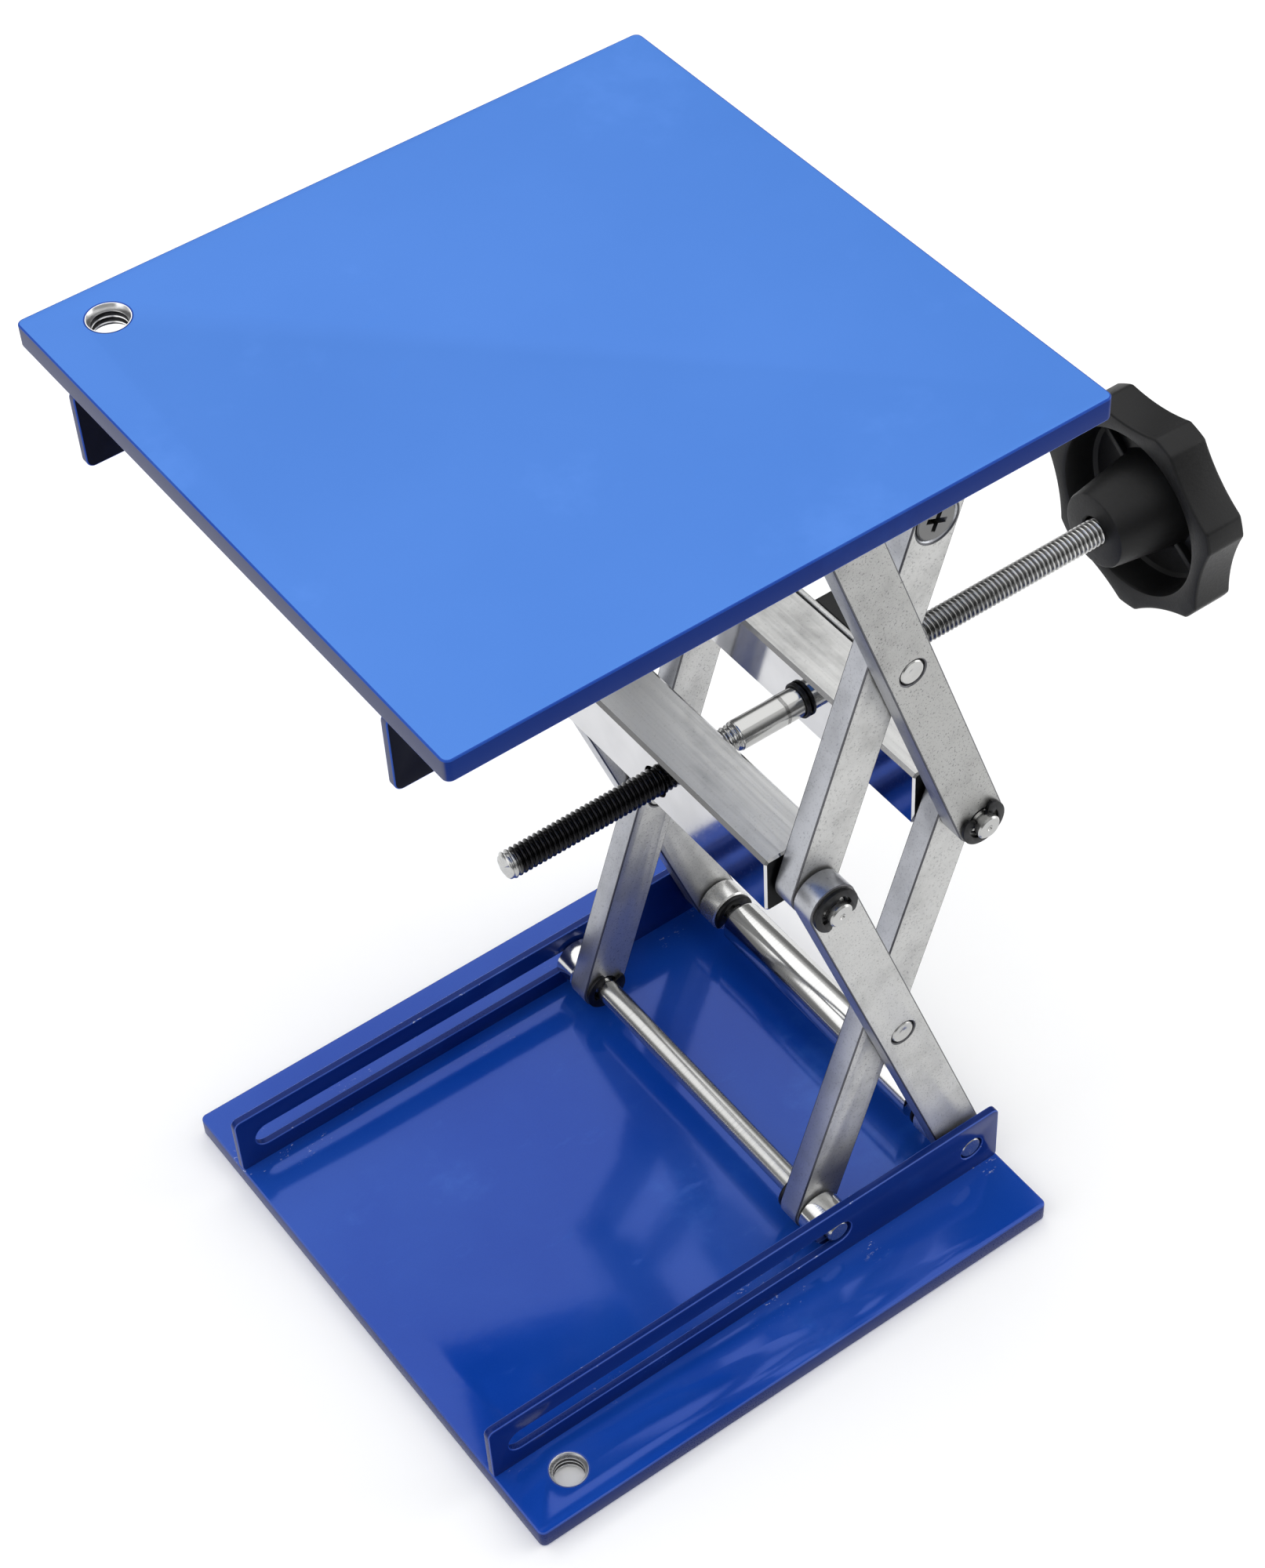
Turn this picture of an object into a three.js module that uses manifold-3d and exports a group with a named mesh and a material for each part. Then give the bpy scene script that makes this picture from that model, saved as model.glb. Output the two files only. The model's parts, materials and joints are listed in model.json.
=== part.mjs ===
// Laboratory scissor jack, millimetres, +Z up.
// X runs along the drive screw (+X towards the knob), Y across the jack.
// Origin: centre of the base plate's underside.
import * as THREE from 'three';
import { mergeVertices } from 'three/addons/utils/BufferGeometryUtils.js';
import Module from 'manifold-3d';

const wasm = await Module();
wasm.setup();
const { Manifold, Mesh } = wasm;

// ---- driving dimensions --------------------------------------------------------------------
const PLATE = { l: 150, w: 150, t: 5.3, corner: 1.6 };
const RIB = { out: 55.9, t: 2.0, h: 18.2, corner: 1.8 };      // upright ribs of the plate extrusion
const PIVOT = { x: 66.9, z: 14.0 };                           // fixed pivot, from the plate's outer face
const SLOT = { x0: -66.5, x1: 26.2, r: 3.5 };                 // rib slot, centres of its round ends
const TAP = { x: -60, y: 64.5, r: 4.1, mouth: 4.6, depth: 0.5 };
const ARM = { run: 40.7, rise: 116.75, w: 12.2, t: 6.2, bevel: 0.35 };
const LAYER_IN = 40.4;                                        // inner face of the inner arms
const LAYER_OUT = 46.9;                                       // inner face of the outer arms
const BAR = { s: 16, half: 39.8, chamfer: 0.8, end: 0.5 };
const PIN = { r: 3.0, end: 56.2, seat: 11, gap: 0.3 };
const CLIP = { r: 5.75, inner: 2.7, relief: 3.95, t: 0.9 };
const GROOVE = { r: 2.4, w: 1.5 };
const TUBE = { r: 5.8, half: 36.6 };
const ROLLER = { r: 5.8, end: 53.5 };
const TIE = { fromTop: 29.3, r: 4, head: 5.0, shank: 2.4, sink: 2.6, seat: 9 };
const SLEEVE = { r: 6.0 };
const BUSH = { r: 4.4, bore: 3.95, t: 0.9 };
const COVER = { half: 29, up: 7.6, t: 1.3 };                   // strip behind the knob-side bar
const BLOCK = { half: 18, up: 7.2, t: 6.5, gap: 0.3 };         // bearing block behind the strip
const SCREW = { x0: -22.5, r: 3.4, shank0: 40.2, shank1: 66, shankR: 3.65, bore: 4.0 };
const KNOB = { hub: 146.4, face: 156.6, back: 167.6, dome: 170.6, tip: 28.5, valley: 25.6,
  lobes: 7, tipHalf: 5.5, turn: 18.5, recess: 21.8, floor: 165.4, hubR: 9.8, hubRoot: 13.2 };

const HEIGHT = 2 * (PIVOT.z + ARM.rise);                      // overall height with the arms raised
const MID = PIVOT.z + ARM.rise;                               // height of the screw
const NODE = {                                                // pivot points in the XZ plane
  F: [PIVOT.x, PIVOT.z], S: [PIVOT.x - ARM.run, PIVOT.z],
  N: [PIVOT.x - ARM.run, MID], B: [PIVOT.x, MID],
  T: [PIVOT.x, HEIGHT - PIVOT.z], U: [PIVOT.x - ARM.run, HEIGHT - PIVOT.z],
};

// ---- finishes ------------------------------------------------------------------------------
const finish = (color, roughness, metalness) =>
  new THREE.MeshStandardMaterial({ color, roughness, metalness });
const BLUE = finish(0x2f55b8, 0.3, 0.45);
const LIGHT_BLUE = finish(0x5a92e6, 0.35, 0.45);
const TUMBLED = finish(0xbdbdbd, 0.5, 0.8);
const POLISHED = finish(0xd2d2d0, 0.2, 1.0);
const STEEL = finish(0xb9b9b8, 0.25, 1.0);
const OXIDE = finish(0x17181a, 0.4, 0.6);
const THREAD = finish(0x6f7072, 0.3, 0.9);
const PLASTIC = finish(0x2a2a2b, 0.6, 0.0);

// ---- solids and booleans -------------------------------------------------------------------
function solid(geometry) {
  const g = geometry.clone();
  g.deleteAttribute('normal');
  g.deleteAttribute('uv');
  const m = mergeVertices(g, 1e-4);
  return new Manifold(new Mesh({
    numProp: 3,
    vertProperties: new Float32Array(m.attributes.position.array),
    triVerts: new Uint32Array(m.index.array),
  }));
}

function geometryOf(man) {
  const m = man.getMesh();
  const g = new THREE.BufferGeometry();
  g.setAttribute('position', new THREE.BufferAttribute(new Float32Array(m.vertProperties), 3));
  g.setIndex(new THREE.BufferAttribute(new Uint32Array(m.triVerts), 1));
  const flat = g.toNonIndexed();
  flat.computeVertexNormals();
  return flat;
}

const group = new THREE.Group();
group.name = 'lab_jack';

function add(name, man, material) {
  const mesh = new THREE.Mesh(geometryOf(man), material);
  mesh.name = name;
  group.add(mesh);
}

// Box given by its limits.
function box(x0, x1, y0, y1, z0, z1) {
  const g = new THREE.BoxGeometry(x1 - x0, y1 - y0, z1 - z0);
  g.translate((x0 + x1) / 2, (y0 + y1) / 2, (z0 + z1) / 2);
  return solid(g);
}

// Solid of revolution from [radius, height] pairs, turned to run along the given axis.
function lathe(profile, axis, centre, segments = 24) {
  const g = new THREE.LatheGeometry(profile.map(([r, h]) => new THREE.Vector2(r, h)), segments);
  if (axis === 'x') g.rotateZ(-Math.PI / 2);
  if (axis === 'z') g.rotateX(Math.PI / 2);
  g.translate(...centre);
  return solid(g);
}

// Round bar along Y between y0 and y1, with a small chamfer at both ends.
function barY([x, z], r, y0, y1, chamfer = 0.3, segments = 24) {
  const c = chamfer;
  return lathe([[0, y0], [r - c, y0], [r, y0 + c], [r, y1 - c], [r - c, y1], [0, y1]],
    'y', [x, 0, z], segments);
}

function boreY([x, z], r, y0, y1, segments = 24) {
  return lathe([[0, y0], [r, y0], [r, y1], [0, y1]], 'y', [x, 0, z], segments);
}

function boreX(r, x0, x1, segments = 28) {
  return lathe([[0, x0], [r, x0], [r, x1], [0, x1]], 'x', [0, 0, MID], segments);
}

// A 2-D shape in the XZ plane pushed along Y from y0 to y1, bevel kept inside those limits.
function plateY(shape, y0, y1, bevel = 0, curveSegments = 12) {
  const g = new THREE.ExtrudeGeometry(shape, {
    depth: y1 - y0 - 2 * bevel, bevelEnabled: bevel > 0, bevelThickness: bevel, bevelSize: bevel,
    bevelOffset: -bevel, bevelSegments: 1, curveSegments, steps: 1,
  });
  g.rotateX(Math.PI / 2);
  g.translate(0, y1 - bevel, 0);
  return solid(g);
}

function roundedRect(x0, y0, x1, y1, r) {
  const s = new THREE.Shape();
  s.moveTo(x0 + r, y0);
  s.lineTo(x1 - r, y0);
  s.absarc(x1 - r, y0 + r, r, -Math.PI / 2, 0, false);
  s.lineTo(x1, y1 - r);
  s.absarc(x1 - r, y1 - r, r, 0, Math.PI / 2, false);
  s.lineTo(x0 + r, y1);
  s.absarc(x0 + r, y1 - r, r, Math.PI / 2, Math.PI, false);
  s.lineTo(x0, y0 + r);
  s.absarc(x0 + r, y0 + r, r, Math.PI, 1.5 * Math.PI, false);
  return s;
}

// Near side is -Y, far side is +Y; limits are given as distances from the centre plane.
const SIDES = [['near', -1], ['far', 1]];
const span = (side, a, b) => (side > 0 ? [a, b] : [-b, -a]);

// ---- plates --------------------------------------------------------------------------------
function plate() {
  const h = PLATE.l / 2;
  const w = PLATE.w / 2;
  const slab = new THREE.ExtrudeGeometry(roundedRect(-h, -w, h, w, PLATE.corner),
    { depth: PLATE.t, bevelEnabled: false, curveSegments: 5 });
  let body = solid(slab);
  for (const [, side] of SIDES) {
    const rib = roundedRect(-h, PLATE.t - 4, h, PLATE.t + RIB.h, RIB.corner);
    const slot = new THREE.Path();
    slot.absarc(SLOT.x1, PIVOT.z, SLOT.r, -Math.PI / 2, Math.PI / 2, false);
    slot.absarc(SLOT.x0, PIVOT.z, SLOT.r, Math.PI / 2, 1.5 * Math.PI, false);
    slot.closePath();
    const hole = new THREE.Path();
    hole.absarc(PIVOT.x, PIVOT.z, PIN.r + PIN.gap, 0, 2 * Math.PI, false);
    rib.holes.push(slot, hole);
    const [y0, y1] = span(side, RIB.out - RIB.t, RIB.out);
    body = Manifold.union(body, plateY(rib, y0, y1, 0, 7));
  }
  const tap = lathe([[0, -1], [TAP.mouth + 1, -1], [TAP.mouth, 0], [TAP.r, TAP.depth],
    [TAP.r, PLATE.t - TAP.depth], [TAP.mouth, PLATE.t], [TAP.mouth + 1, PLATE.t + 1],
    [0, PLATE.t + 1]], 'z', [TAP.x, -TAP.y, 0], 28);
  return Manifold.difference(body, tap);
}

add('base_plate', plate(), BLUE);
add('top_plate', plate().rotate([180, 0, 0]).translate([0, 0, HEIGHT]), LIGHT_BLUE);

// ---- arms ----------------------------------------------------------------------------------
function arm([xa, za], [xb, zb], y0, y1) {
  const length = Math.hypot(xb - xa, zb - za);
  const r = ARM.w / 2;
  const s = new THREE.Shape();
  s.absarc(length, 0, r, -Math.PI / 2, Math.PI / 2, false);
  s.absarc(0, 0, r, Math.PI / 2, 1.5 * Math.PI, false);
  s.closePath();
  for (const u of [0, length / 2, length]) {
    const hole = new THREE.Path();
    hole.absarc(u, 0, PIN.r + PIN.gap, 0, 2 * Math.PI, false);
    s.holes.push(hole);
  }
  const body = plateY(s, y0, y1, ARM.bevel, 7);
  const turn = -Math.atan2(zb - za, xb - xa) * 180 / Math.PI;
  return body.rotate([0, turn, 0]).translate([xa, 0, za]);
}

const along = ([xa, za], [xb, zb], d) => {
  const l = Math.hypot(xb - xa, zb - za);
  return [xa + (xb - xa) * d / l, za + (zb - za) * d / l];
};
const tiePoint = along(NODE.T, NODE.N, TIE.fromTop);

for (const [side, sign] of SIDES) {
  const inner = span(sign, LAYER_IN, LAYER_IN + ARM.t);
  const outer = span(sign, LAYER_OUT, LAYER_OUT + ARM.t);
  add(`lower_outer_arm_${side}`, arm(NODE.F, NODE.N, ...outer), TUMBLED);
  add(`lower_inner_arm_${side}`, arm(NODE.S, NODE.B, ...inner), TUMBLED);
  add(`upper_outer_arm_${side}`, arm(NODE.B, NODE.U, ...outer), TUMBLED);
  const face = LAYER_IN + ARM.t;
  const seat = lathe([[0, LAYER_IN - 1], [TIE.shank + 0.3, LAYER_IN - 1],
    [TIE.shank + 0.3, face - TIE.sink - 0.3], [TIE.head + 0.4, face - 0.1],
    [TIE.head + 0.4, face + 1], [0, face + 1]], 'y', [0, 0, 0], 28);
  const cut = sign > 0 ? seat : seat.rotate([180, 0, 0]);
  add(`upper_inner_arm_${side}`, Manifold.difference(arm(NODE.N, NODE.T, ...inner),
    cut.translate([tiePoint[0], 0, tiePoint[1]])), TUMBLED);
}

// ---- rivets where each pair of arms crosses ------------------------------------------------
const middle = (a, b) => [(a[0] + b[0]) / 2, (a[1] + b[1]) / 2];
for (const [level, at] of [['lower', middle(NODE.F, NODE.N)], ['upper', middle(NODE.B, NODE.U)]]) {
  for (const [side, sign] of SIDES) {
    const [y0, y1] = span(sign, LAYER_IN + 0.1, LAYER_OUT + ARM.t - 0.05);
    add(`rivet_${level}_${side}`, barY(at, PIN.r - 0.05, y0, y1, 0.25), STEEL);
  }
}

// ---- crossbars -----------------------------------------------------------------------------
function crossbar([x]) {
  const s = BAR.s / 2;
  const c = BAR.chamfer;
  const shape = new THREE.Shape([[-s + c, -s], [s - c, -s], [s, -s + c], [s, s - c],
    [s - c, s], [-s + c, s], [-s, s - c], [-s, -s + c]].map(([u, v]) => new THREE.Vector2(x + u, MID + v)));
  let body = plateY(shape, -BAR.half, BAR.half, BAR.end);
  for (const sign of [-1, 1]) {
    const [y0, y1] = span(sign, BAR.half - PIN.seat - 0.4, BAR.half + 1);
    body = Manifold.difference(body, boreY([x, MID], PIN.r + PIN.gap, y0, y1));
  }
  return Manifold.difference(body, boreX(SCREW.bore, x - s - 1, x + s + 1));
}
add('nut_crossbar', crossbar(NODE.N), POLISHED);
add('knob_side_crossbar', crossbar(NODE.B), POLISHED);

// Pin with a clip groove: `clipAt` is the inner face of the clip.
function grooved(at, y0, y1, grooves) {
  let body = barY(at, PIN.r, y0, y1, 0.4);
  for (const g of grooves) {
    const gap = (GROOVE.w - CLIP.t) / 2;
    const a = g - gap;
    const ring = Manifold.difference(boreY(at, PIN.r + 1, a, a + GROOVE.w),
      boreY(at, GROOVE.r, a - 1, a + GROOVE.w + 1));
    body = Manifold.difference(body, ring);
  }
  return body;
}

// Spring clip lying in an XZ plane, open towards `opening` (radians from +X towards +Z).
function clip([x, z], opening, y0) {
  const deg = Math.PI / 180;
  const half = 34 * deg;
  const s = new THREE.Shape();
  const at = (r, a) => [r * Math.cos(a), r * Math.sin(a)];
  s.moveTo(...at(CLIP.r - 0.6, half));
  s.lineTo(...at(CLIP.r, half + 7 * deg));
  s.absarc(0, 0, CLIP.r, half + 7 * deg, 2 * Math.PI - half - 7 * deg, false);
  s.lineTo(...at(CLIP.r - 0.6, 2 * Math.PI - half));
  const steps = [[326, 296, CLIP.inner], [282, 214, CLIP.relief], [200, 160, CLIP.inner],
    [146, 78, CLIP.relief], [64, 34, CLIP.inner]];
  for (const [a0, a1, r] of steps) {
    s.lineTo(...at(r, a0 * deg));
    s.absarc(0, 0, r, a0 * deg, a1 * deg, true);
  }
  s.closePath();
  const body = plateY(s, y0, y0 + CLIP.t, 0, 4);
  return body.rotate([0, -opening / deg, 0]).translate([x, 0, z]);
}

const bearing = ([xa, za], [xb, zb]) => Math.atan2(zb - za, xb - xa);
const CLIP_OUT = LAYER_OUT + ARM.t + 0.3;
for (const [bar, at, towards] of [['nut', NODE.N, NODE.F], ['knob_side', NODE.B, NODE.U]]) {
  for (const [side, sign] of SIDES) {
    const [y0, y1] = span(sign, BAR.half - PIN.seat, PIN.end);
    const [c0] = span(sign, CLIP_OUT, CLIP_OUT + CLIP.t);
    add(`${bar}_pin_${side}`, grooved(at, y0, y1, [c0]), STEEL);
    add(`${bar}_clip_${side}`, clip(at, bearing(at, towards), c0), OXIDE);
  }
}

// ---- cross rods, their clips, sleeves and rollers ------------------------------------------
const RODS = [
  { name: 'base_pivot', at: NODE.F, outer: true, opening: -2 * Math.PI / 3, end: 55.7 },
  { name: 'base_slide', at: NODE.S, outer: false, opening: Math.PI / 3, end: 55.4 },
  { name: 'top_pivot', at: NODE.T, outer: false, opening: -Math.PI / 3, end: 55.7 },
  { name: 'top_slide', at: NODE.U, outer: true, opening: -Math.PI / 3, end: 55.4 },
];
const CLIP_IN = LAYER_IN - 0.3 - CLIP.t;
for (const rod of RODS) {
  const clips = SIDES.map(([side, sign]) => [side, span(sign, CLIP_IN, CLIP_IN + CLIP.t)[0]]);
  add(`${rod.name}_rod`, grooved(rod.at, -rod.end, rod.end, clips.map(([, y]) => y)), STEEL);
  for (const [side, y] of clips) {
    add(`${rod.name}_clip_${side}`, clip(rod.at, rod.opening, y), OXIDE);
  }
  for (const [side, sign] of SIDES) {
    const limits = rod.outer ? [LAYER_IN, LAYER_OUT - 0.3] : [LAYER_IN + ARM.t + 0.3, ROLLER.end];
    const [y0, y1] = span(sign, ...limits);
    const r = rod.outer ? SLEEVE.r : ROLLER.r;
    const ring = Manifold.difference(barY(rod.at, r, y0, y1, 0.4),
      boreY(rod.at, PIN.r + PIN.gap, y0 - 1, y1 + 1));
    add(`${rod.name}_${rod.outer ? 'sleeve' : 'roller'}_${side}`, ring, POLISHED);
  }
}
add('base_pivot_tube', Manifold.difference(barY(NODE.F, TUBE.r, -TUBE.half, TUBE.half, 0.5, 28),
  boreY(NODE.F, PIN.r + PIN.gap, -TUBE.half - 1, TUBE.half + 1)), STEEL);

// ---- tie rod between the upper inner arms --------------------------------------------------
const tieEnd = LAYER_IN - 0.3;
let tie = barY(tiePoint, TIE.r, -tieEnd, tieEnd, 0.4);
for (const [, sign] of SIDES) {
  const [y0, y1] = span(sign, tieEnd - TIE.seat - 0.4, tieEnd + 1);
  tie = Manifold.difference(tie, boreY(tiePoint, TIE.shank + 0.3, y0, y1));
}
add('tie_rod', tie, STEEL);

function crossHeadScrew() {
  const face = LAYER_IN + ARM.t;
  const body = lathe([[0, tieEnd - TIE.seat], [TIE.shank, tieEnd - TIE.seat],
    [TIE.shank, face - TIE.sink], [TIE.head - 0.15, face - 0.35], [TIE.head - 0.3, face - 0.1],
    [0, face - 0.1]], 'y', [0, 0, 0], 28);
  const depth = 2.0;
  const blade = (turn) => {
    const g = new THREE.CylinderGeometry(2.9, 1.6, depth, 4, 1);
    g.rotateY(Math.PI / 4);
    g.scale(1, 1, 0.3);
    g.rotateY(turn);
    g.translate(0, face - depth / 2, 0);
    return solid(g);
  };
  return Manifold.difference(body, Manifold.union(blade(0), blade(Math.PI / 2)));
}
for (const [side, sign] of SIDES) {
  const screw = crossHeadScrew().rotate([0, 22, 0]);
  const placed = sign > 0 ? screw : screw.rotate([180, 0, 0]);
  add(`tie_screw_${side}`, placed.translate([tiePoint[0], 0, tiePoint[1]]), STEEL);
}

// ---- drive screw, bush and bearing pieces on the knob side ---------------------------------
const SCREW_END = KNOB.hub + 12;
add('drive_screw', lathe([[0, SCREW.x0], [SCREW.r - 0.7, SCREW.x0], [SCREW.r, SCREW.x0 + 0.7],
  [SCREW.r, SCREW.shank0], [SCREW.shankR, SCREW.shank0 + 0.25], [SCREW.shankR, SCREW.shank1 - 0.25],
  [SCREW.r, SCREW.shank1], [SCREW.r, SCREW_END - 0.7], [SCREW.r - 0.7, SCREW_END], [0, SCREW_END]],
'x', [0, 0, MID], 28), THREAD);

const barFace = BAR.s / 2;
add('screw_bush', Manifold.difference(
  lathe([[0, 0], [BUSH.r - 0.2, 0], [BUSH.r, 0.2], [BUSH.r, BUSH.t], [0, BUSH.t]], 'x',
    [PIVOT.x - barFace - 0.3 - BUSH.t, 0, MID], 36),
  boreX(BUSH.bore, 40, 90)), OXIDE);
const coverAt = PIVOT.x + barFace + BLOCK.gap;
const blockAt = coverAt + COVER.t + BLOCK.gap;
const bored = (at, { half, up, t }) => Manifold.difference(
  box(at, at + t, -half, half, MID - up, MID + up), boreX(SCREW.bore, at - 1, at + t + 1));
add('cover_strip', bored(coverAt, COVER), TUMBLED);
add('bearing_block', bored(blockAt, BLOCK), PLASTIC);

// ---- knob ----------------------------------------------------------------------------------
function knobOutline() {
  const deg = Math.PI / 180;
  const pitch = 360 / KNOB.lobes;
  const edge = (pitch / 2 - KNOB.tipHalf) * deg;              // valley direction to lobe corner
  const c = KNOB.tip * Math.cos(edge);
  const h = KNOB.tip * Math.sin(edge);
  const d = c - KNOB.valley;
  const scallop = (h * h + d * d) / (2 * d);
  const centre = KNOB.valley + scallop;
  const reach = Math.asin(h / scallop);
  const pts = [];
  for (let i = 0; i < KNOB.lobes; i += 1) {
    const base = (KNOB.turn + i * pitch) * deg;
    for (const a of [-1, -0.62, 0, 0.62, 1]) {
      const r = KNOB.tip - (Math.abs(a) === 1 ? 0.55 : 0);
      const t = base + a * KNOB.tipHalf * deg * (Math.abs(a) === 1 ? 1.16 : 1);
      pts.push(new THREE.Vector2(r * Math.cos(t), r * Math.sin(t)));
    }
    const valley = base + (pitch / 2) * deg;
    for (let k = 1; k < 8; k += 1) {
      const b = reach * (1 - k / 4);
      const [u, v] = [centre - scallop * Math.cos(b), -scallop * Math.sin(b)];
      pts.push(new THREE.Vector2(u * Math.cos(valley) - v * Math.sin(valley),
        u * Math.sin(valley) + v * Math.cos(valley)));
    }
  }
  return new THREE.Shape(pts);
}

function knob() {
  const bevel = 1.1;
  const g = new THREE.ExtrudeGeometry(knobOutline(), {
    depth: KNOB.back - KNOB.face - 2 * bevel, bevelEnabled: true, bevelThickness: bevel,
    bevelSize: bevel, bevelOffset: -bevel, bevelSegments: 3, steps: 1,
  });
  // shape x -> -Y, shape y -> +Z, depth -> +X
  g.applyMatrix4(new THREE.Matrix4().makeBasis(new THREE.Vector3(0, -1, 0),
    new THREE.Vector3(0, 0, 1), new THREE.Vector3(-1, 0, 0)));
  g.translate(KNOB.back - bevel, 0, MID);
  const centre = [0, 0, MID];
  const dome = lathe([[0, KNOB.back - 4], [24.2, KNOB.back - 4], [24.2, KNOB.back + 0.2],
    [22.6, KNOB.back + 1.4], [17, KNOB.dome - 0.5], [9, KNOB.dome - 0.1], [0, KNOB.dome]], 'x', centre, 40);
  const recess = lathe([[0, KNOB.face - 2], [KNOB.recess + 1.2, KNOB.face - 2],
    [KNOB.recess + 0.5, KNOB.face], [KNOB.recess, KNOB.face + 0.6], [KNOB.recess - 0.8, KNOB.floor],
    [0, KNOB.floor]], 'x', centre, 40);
  const hub = lathe([[0, KNOB.hub], [KNOB.hubR - 0.7, KNOB.hub], [KNOB.hubR, KNOB.hub + 0.7],
    [KNOB.hubRoot, KNOB.floor + 1], [0, KNOB.floor + 1]], 'x', centre, 32);
  const ribs = [0, 1, 2, 3].map((i) => {
    const t = 35 + i * 90;
    return box(KNOB.floor - 3, KNOB.floor + 1, 11, KNOB.recess - 0.2, -0.9, 0.9)
      .rotate([t, 0, 0]).translate([0, 0, MID]);
  });
  const bored = Manifold.difference(
    Manifold.union([Manifold.difference(Manifold.union(solid(g), dome), recess), hub, ...ribs]),
    boreX(SCREW.r + 0.3, KNOB.hub - 1, SCREW_END + 0.4));
  return bored;
}
add('knob', knob(), PLASTIC);

export default group;
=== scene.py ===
"""Laboratory scissor jack: its looks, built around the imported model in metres, +Z up.

X runs along the drive screw (+X towards the knob), Y across the jack. The near side is -Y.
"""
import json
import logging
import math
from collections.abc import Callable, Sequence
from dataclasses import dataclass, field
from enum import Enum, IntEnum
from typing import Any, ClassVar

import bmesh
import bpy
from mathutils import Matrix, Vector
from mathutils.geometry import tessellate_polygon


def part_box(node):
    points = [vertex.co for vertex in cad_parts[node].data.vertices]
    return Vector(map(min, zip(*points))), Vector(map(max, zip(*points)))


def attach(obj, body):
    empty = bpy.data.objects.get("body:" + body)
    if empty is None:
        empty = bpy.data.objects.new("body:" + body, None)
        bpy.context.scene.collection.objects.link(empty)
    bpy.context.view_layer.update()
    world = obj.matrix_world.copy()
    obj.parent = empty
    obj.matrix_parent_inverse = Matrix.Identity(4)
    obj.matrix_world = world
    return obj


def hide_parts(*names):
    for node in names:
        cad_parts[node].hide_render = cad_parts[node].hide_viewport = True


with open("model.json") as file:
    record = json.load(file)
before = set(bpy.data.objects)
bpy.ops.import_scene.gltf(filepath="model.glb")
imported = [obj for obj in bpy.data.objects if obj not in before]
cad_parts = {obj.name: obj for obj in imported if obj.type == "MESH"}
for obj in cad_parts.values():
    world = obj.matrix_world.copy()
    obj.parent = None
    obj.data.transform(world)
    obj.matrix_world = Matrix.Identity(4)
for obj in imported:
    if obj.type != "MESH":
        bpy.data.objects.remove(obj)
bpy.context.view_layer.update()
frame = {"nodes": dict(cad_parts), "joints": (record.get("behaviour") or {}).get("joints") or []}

LOG = logging.getLogger("lab_jack")
MM = 0.001
TAU = 2 * math.pi
SHARP_ANGLE = math.radians(33)
Point2 = tuple[float, float]
Point3 = tuple[float, float, float]
Colour = tuple[float, float, float]


# ---- places read from the frame --------------------------------------------------------------


@dataclass(frozen=True)
class Extent:
    """Lowest and highest corners of one or more nodes at rest."""

    low: Vector
    high: Vector

    @classmethod
    def of(cls, *nodes: str) -> "Extent":
        """Measures nodes.

        Args:
            nodes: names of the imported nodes.

        Returns:
            The box that holds all of them.
        """
        corners = [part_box(node) for node in nodes]
        low = Vector([min(c[0][i] for c in corners) for i in range(3)])
        high = Vector([max(c[1][i] for c in corners) for i in range(3)])
        return cls(low, high)

    @property
    def centre(self) -> Vector:
        """The box's middle."""
        return (self.low + self.high) / 2

    @property
    def size(self) -> Vector:
        """The box's three sides."""
        return self.high - self.low

    @property
    def side_centre(self) -> Point2:
        """The box's middle in the side view, as X and Z."""
        return self.centre.x, self.centre.z


class Side(Enum):
    """The two sides of the jack, by the sign of Y."""

    NEAR = -1
    FAR = 1

    def named(self, stem: str) -> str:
        """The name of this side's node or piece."""
        return f"{stem}_{self.name.lower()}"


def both(stem: str) -> list[str]:
    """Names of a pair of nodes, near and far."""
    return [side.named(stem) for side in Side]


def pivot(joint: str) -> Point2:
    """Finds a hinge in the side view.

    Args:
        joint: name of a hinge whose axis lies along Y.

    Returns:
        Its X and Z.
    """
    found = next(j for j in frame["joints"] if j["name"] == joint)
    return found["pos_m"][0], found["pos_m"][2]


# ---- outlines --------------------------------------------------------------------------------


def halfway(a: Point2, b: Point2) -> Point2:
    """The point midway between two others."""
    return (a[0] + b[0]) / 2, (a[1] + b[1]) / 2


def arc(centre: Point2, radius: float, start: float, end: float, steps: int) -> list[Point2]:
    """Points on an arc.

    Args:
        centre: the arc's centre.
        radius: its radius.
        start: first angle in radians.
        end: last angle in radians.
        steps: number of equal steps between them.

    Returns:
        steps + 1 points.
    """
    angles = [start + (end - start) * k / steps for k in range(steps + 1)]
    return [(centre[0] + radius * math.cos(a), centre[1] + radius * math.sin(a)) for a in angles]


def circle(centre: Point2, radius: float, steps: int = 48) -> list[Point2]:
    """A closed circle as an outline."""
    return arc(centre, radius, 0, TAU * (1 - 1 / steps), steps - 1)


def rounded_rect(low: Point2, high: Point2, radius: float, steps: int = 6) -> list[Point2]:
    """A rectangle with round corners, anticlockwise from its lower right corner."""
    quarter = math.pi / 2
    corners = [(high[0] - radius, low[1] + radius, -quarter), (high[0] - radius, high[1] - radius, 0),
               (low[0] + radius, high[1] - radius, quarter), (low[0] + radius, low[1] + radius, math.pi)]
    points: list[Point2] = []
    for x, z, start in corners:
        points += arc((x, z), radius, start, start + quarter, steps)
    return points


def stadium(a: Point2, b: Point2, radius: float, steps: int = 24) -> list[Point2]:
    """Two half circles round a and b, joined by straight sides."""
    heading = math.atan2(b[1] - a[1], b[0] - a[0])
    quarter = math.pi / 2
    return (arc(b, radius, heading - quarter, heading + quarter, steps)
            + arc(a, radius, heading + quarter, heading + 3 * quarter, steps))


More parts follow.
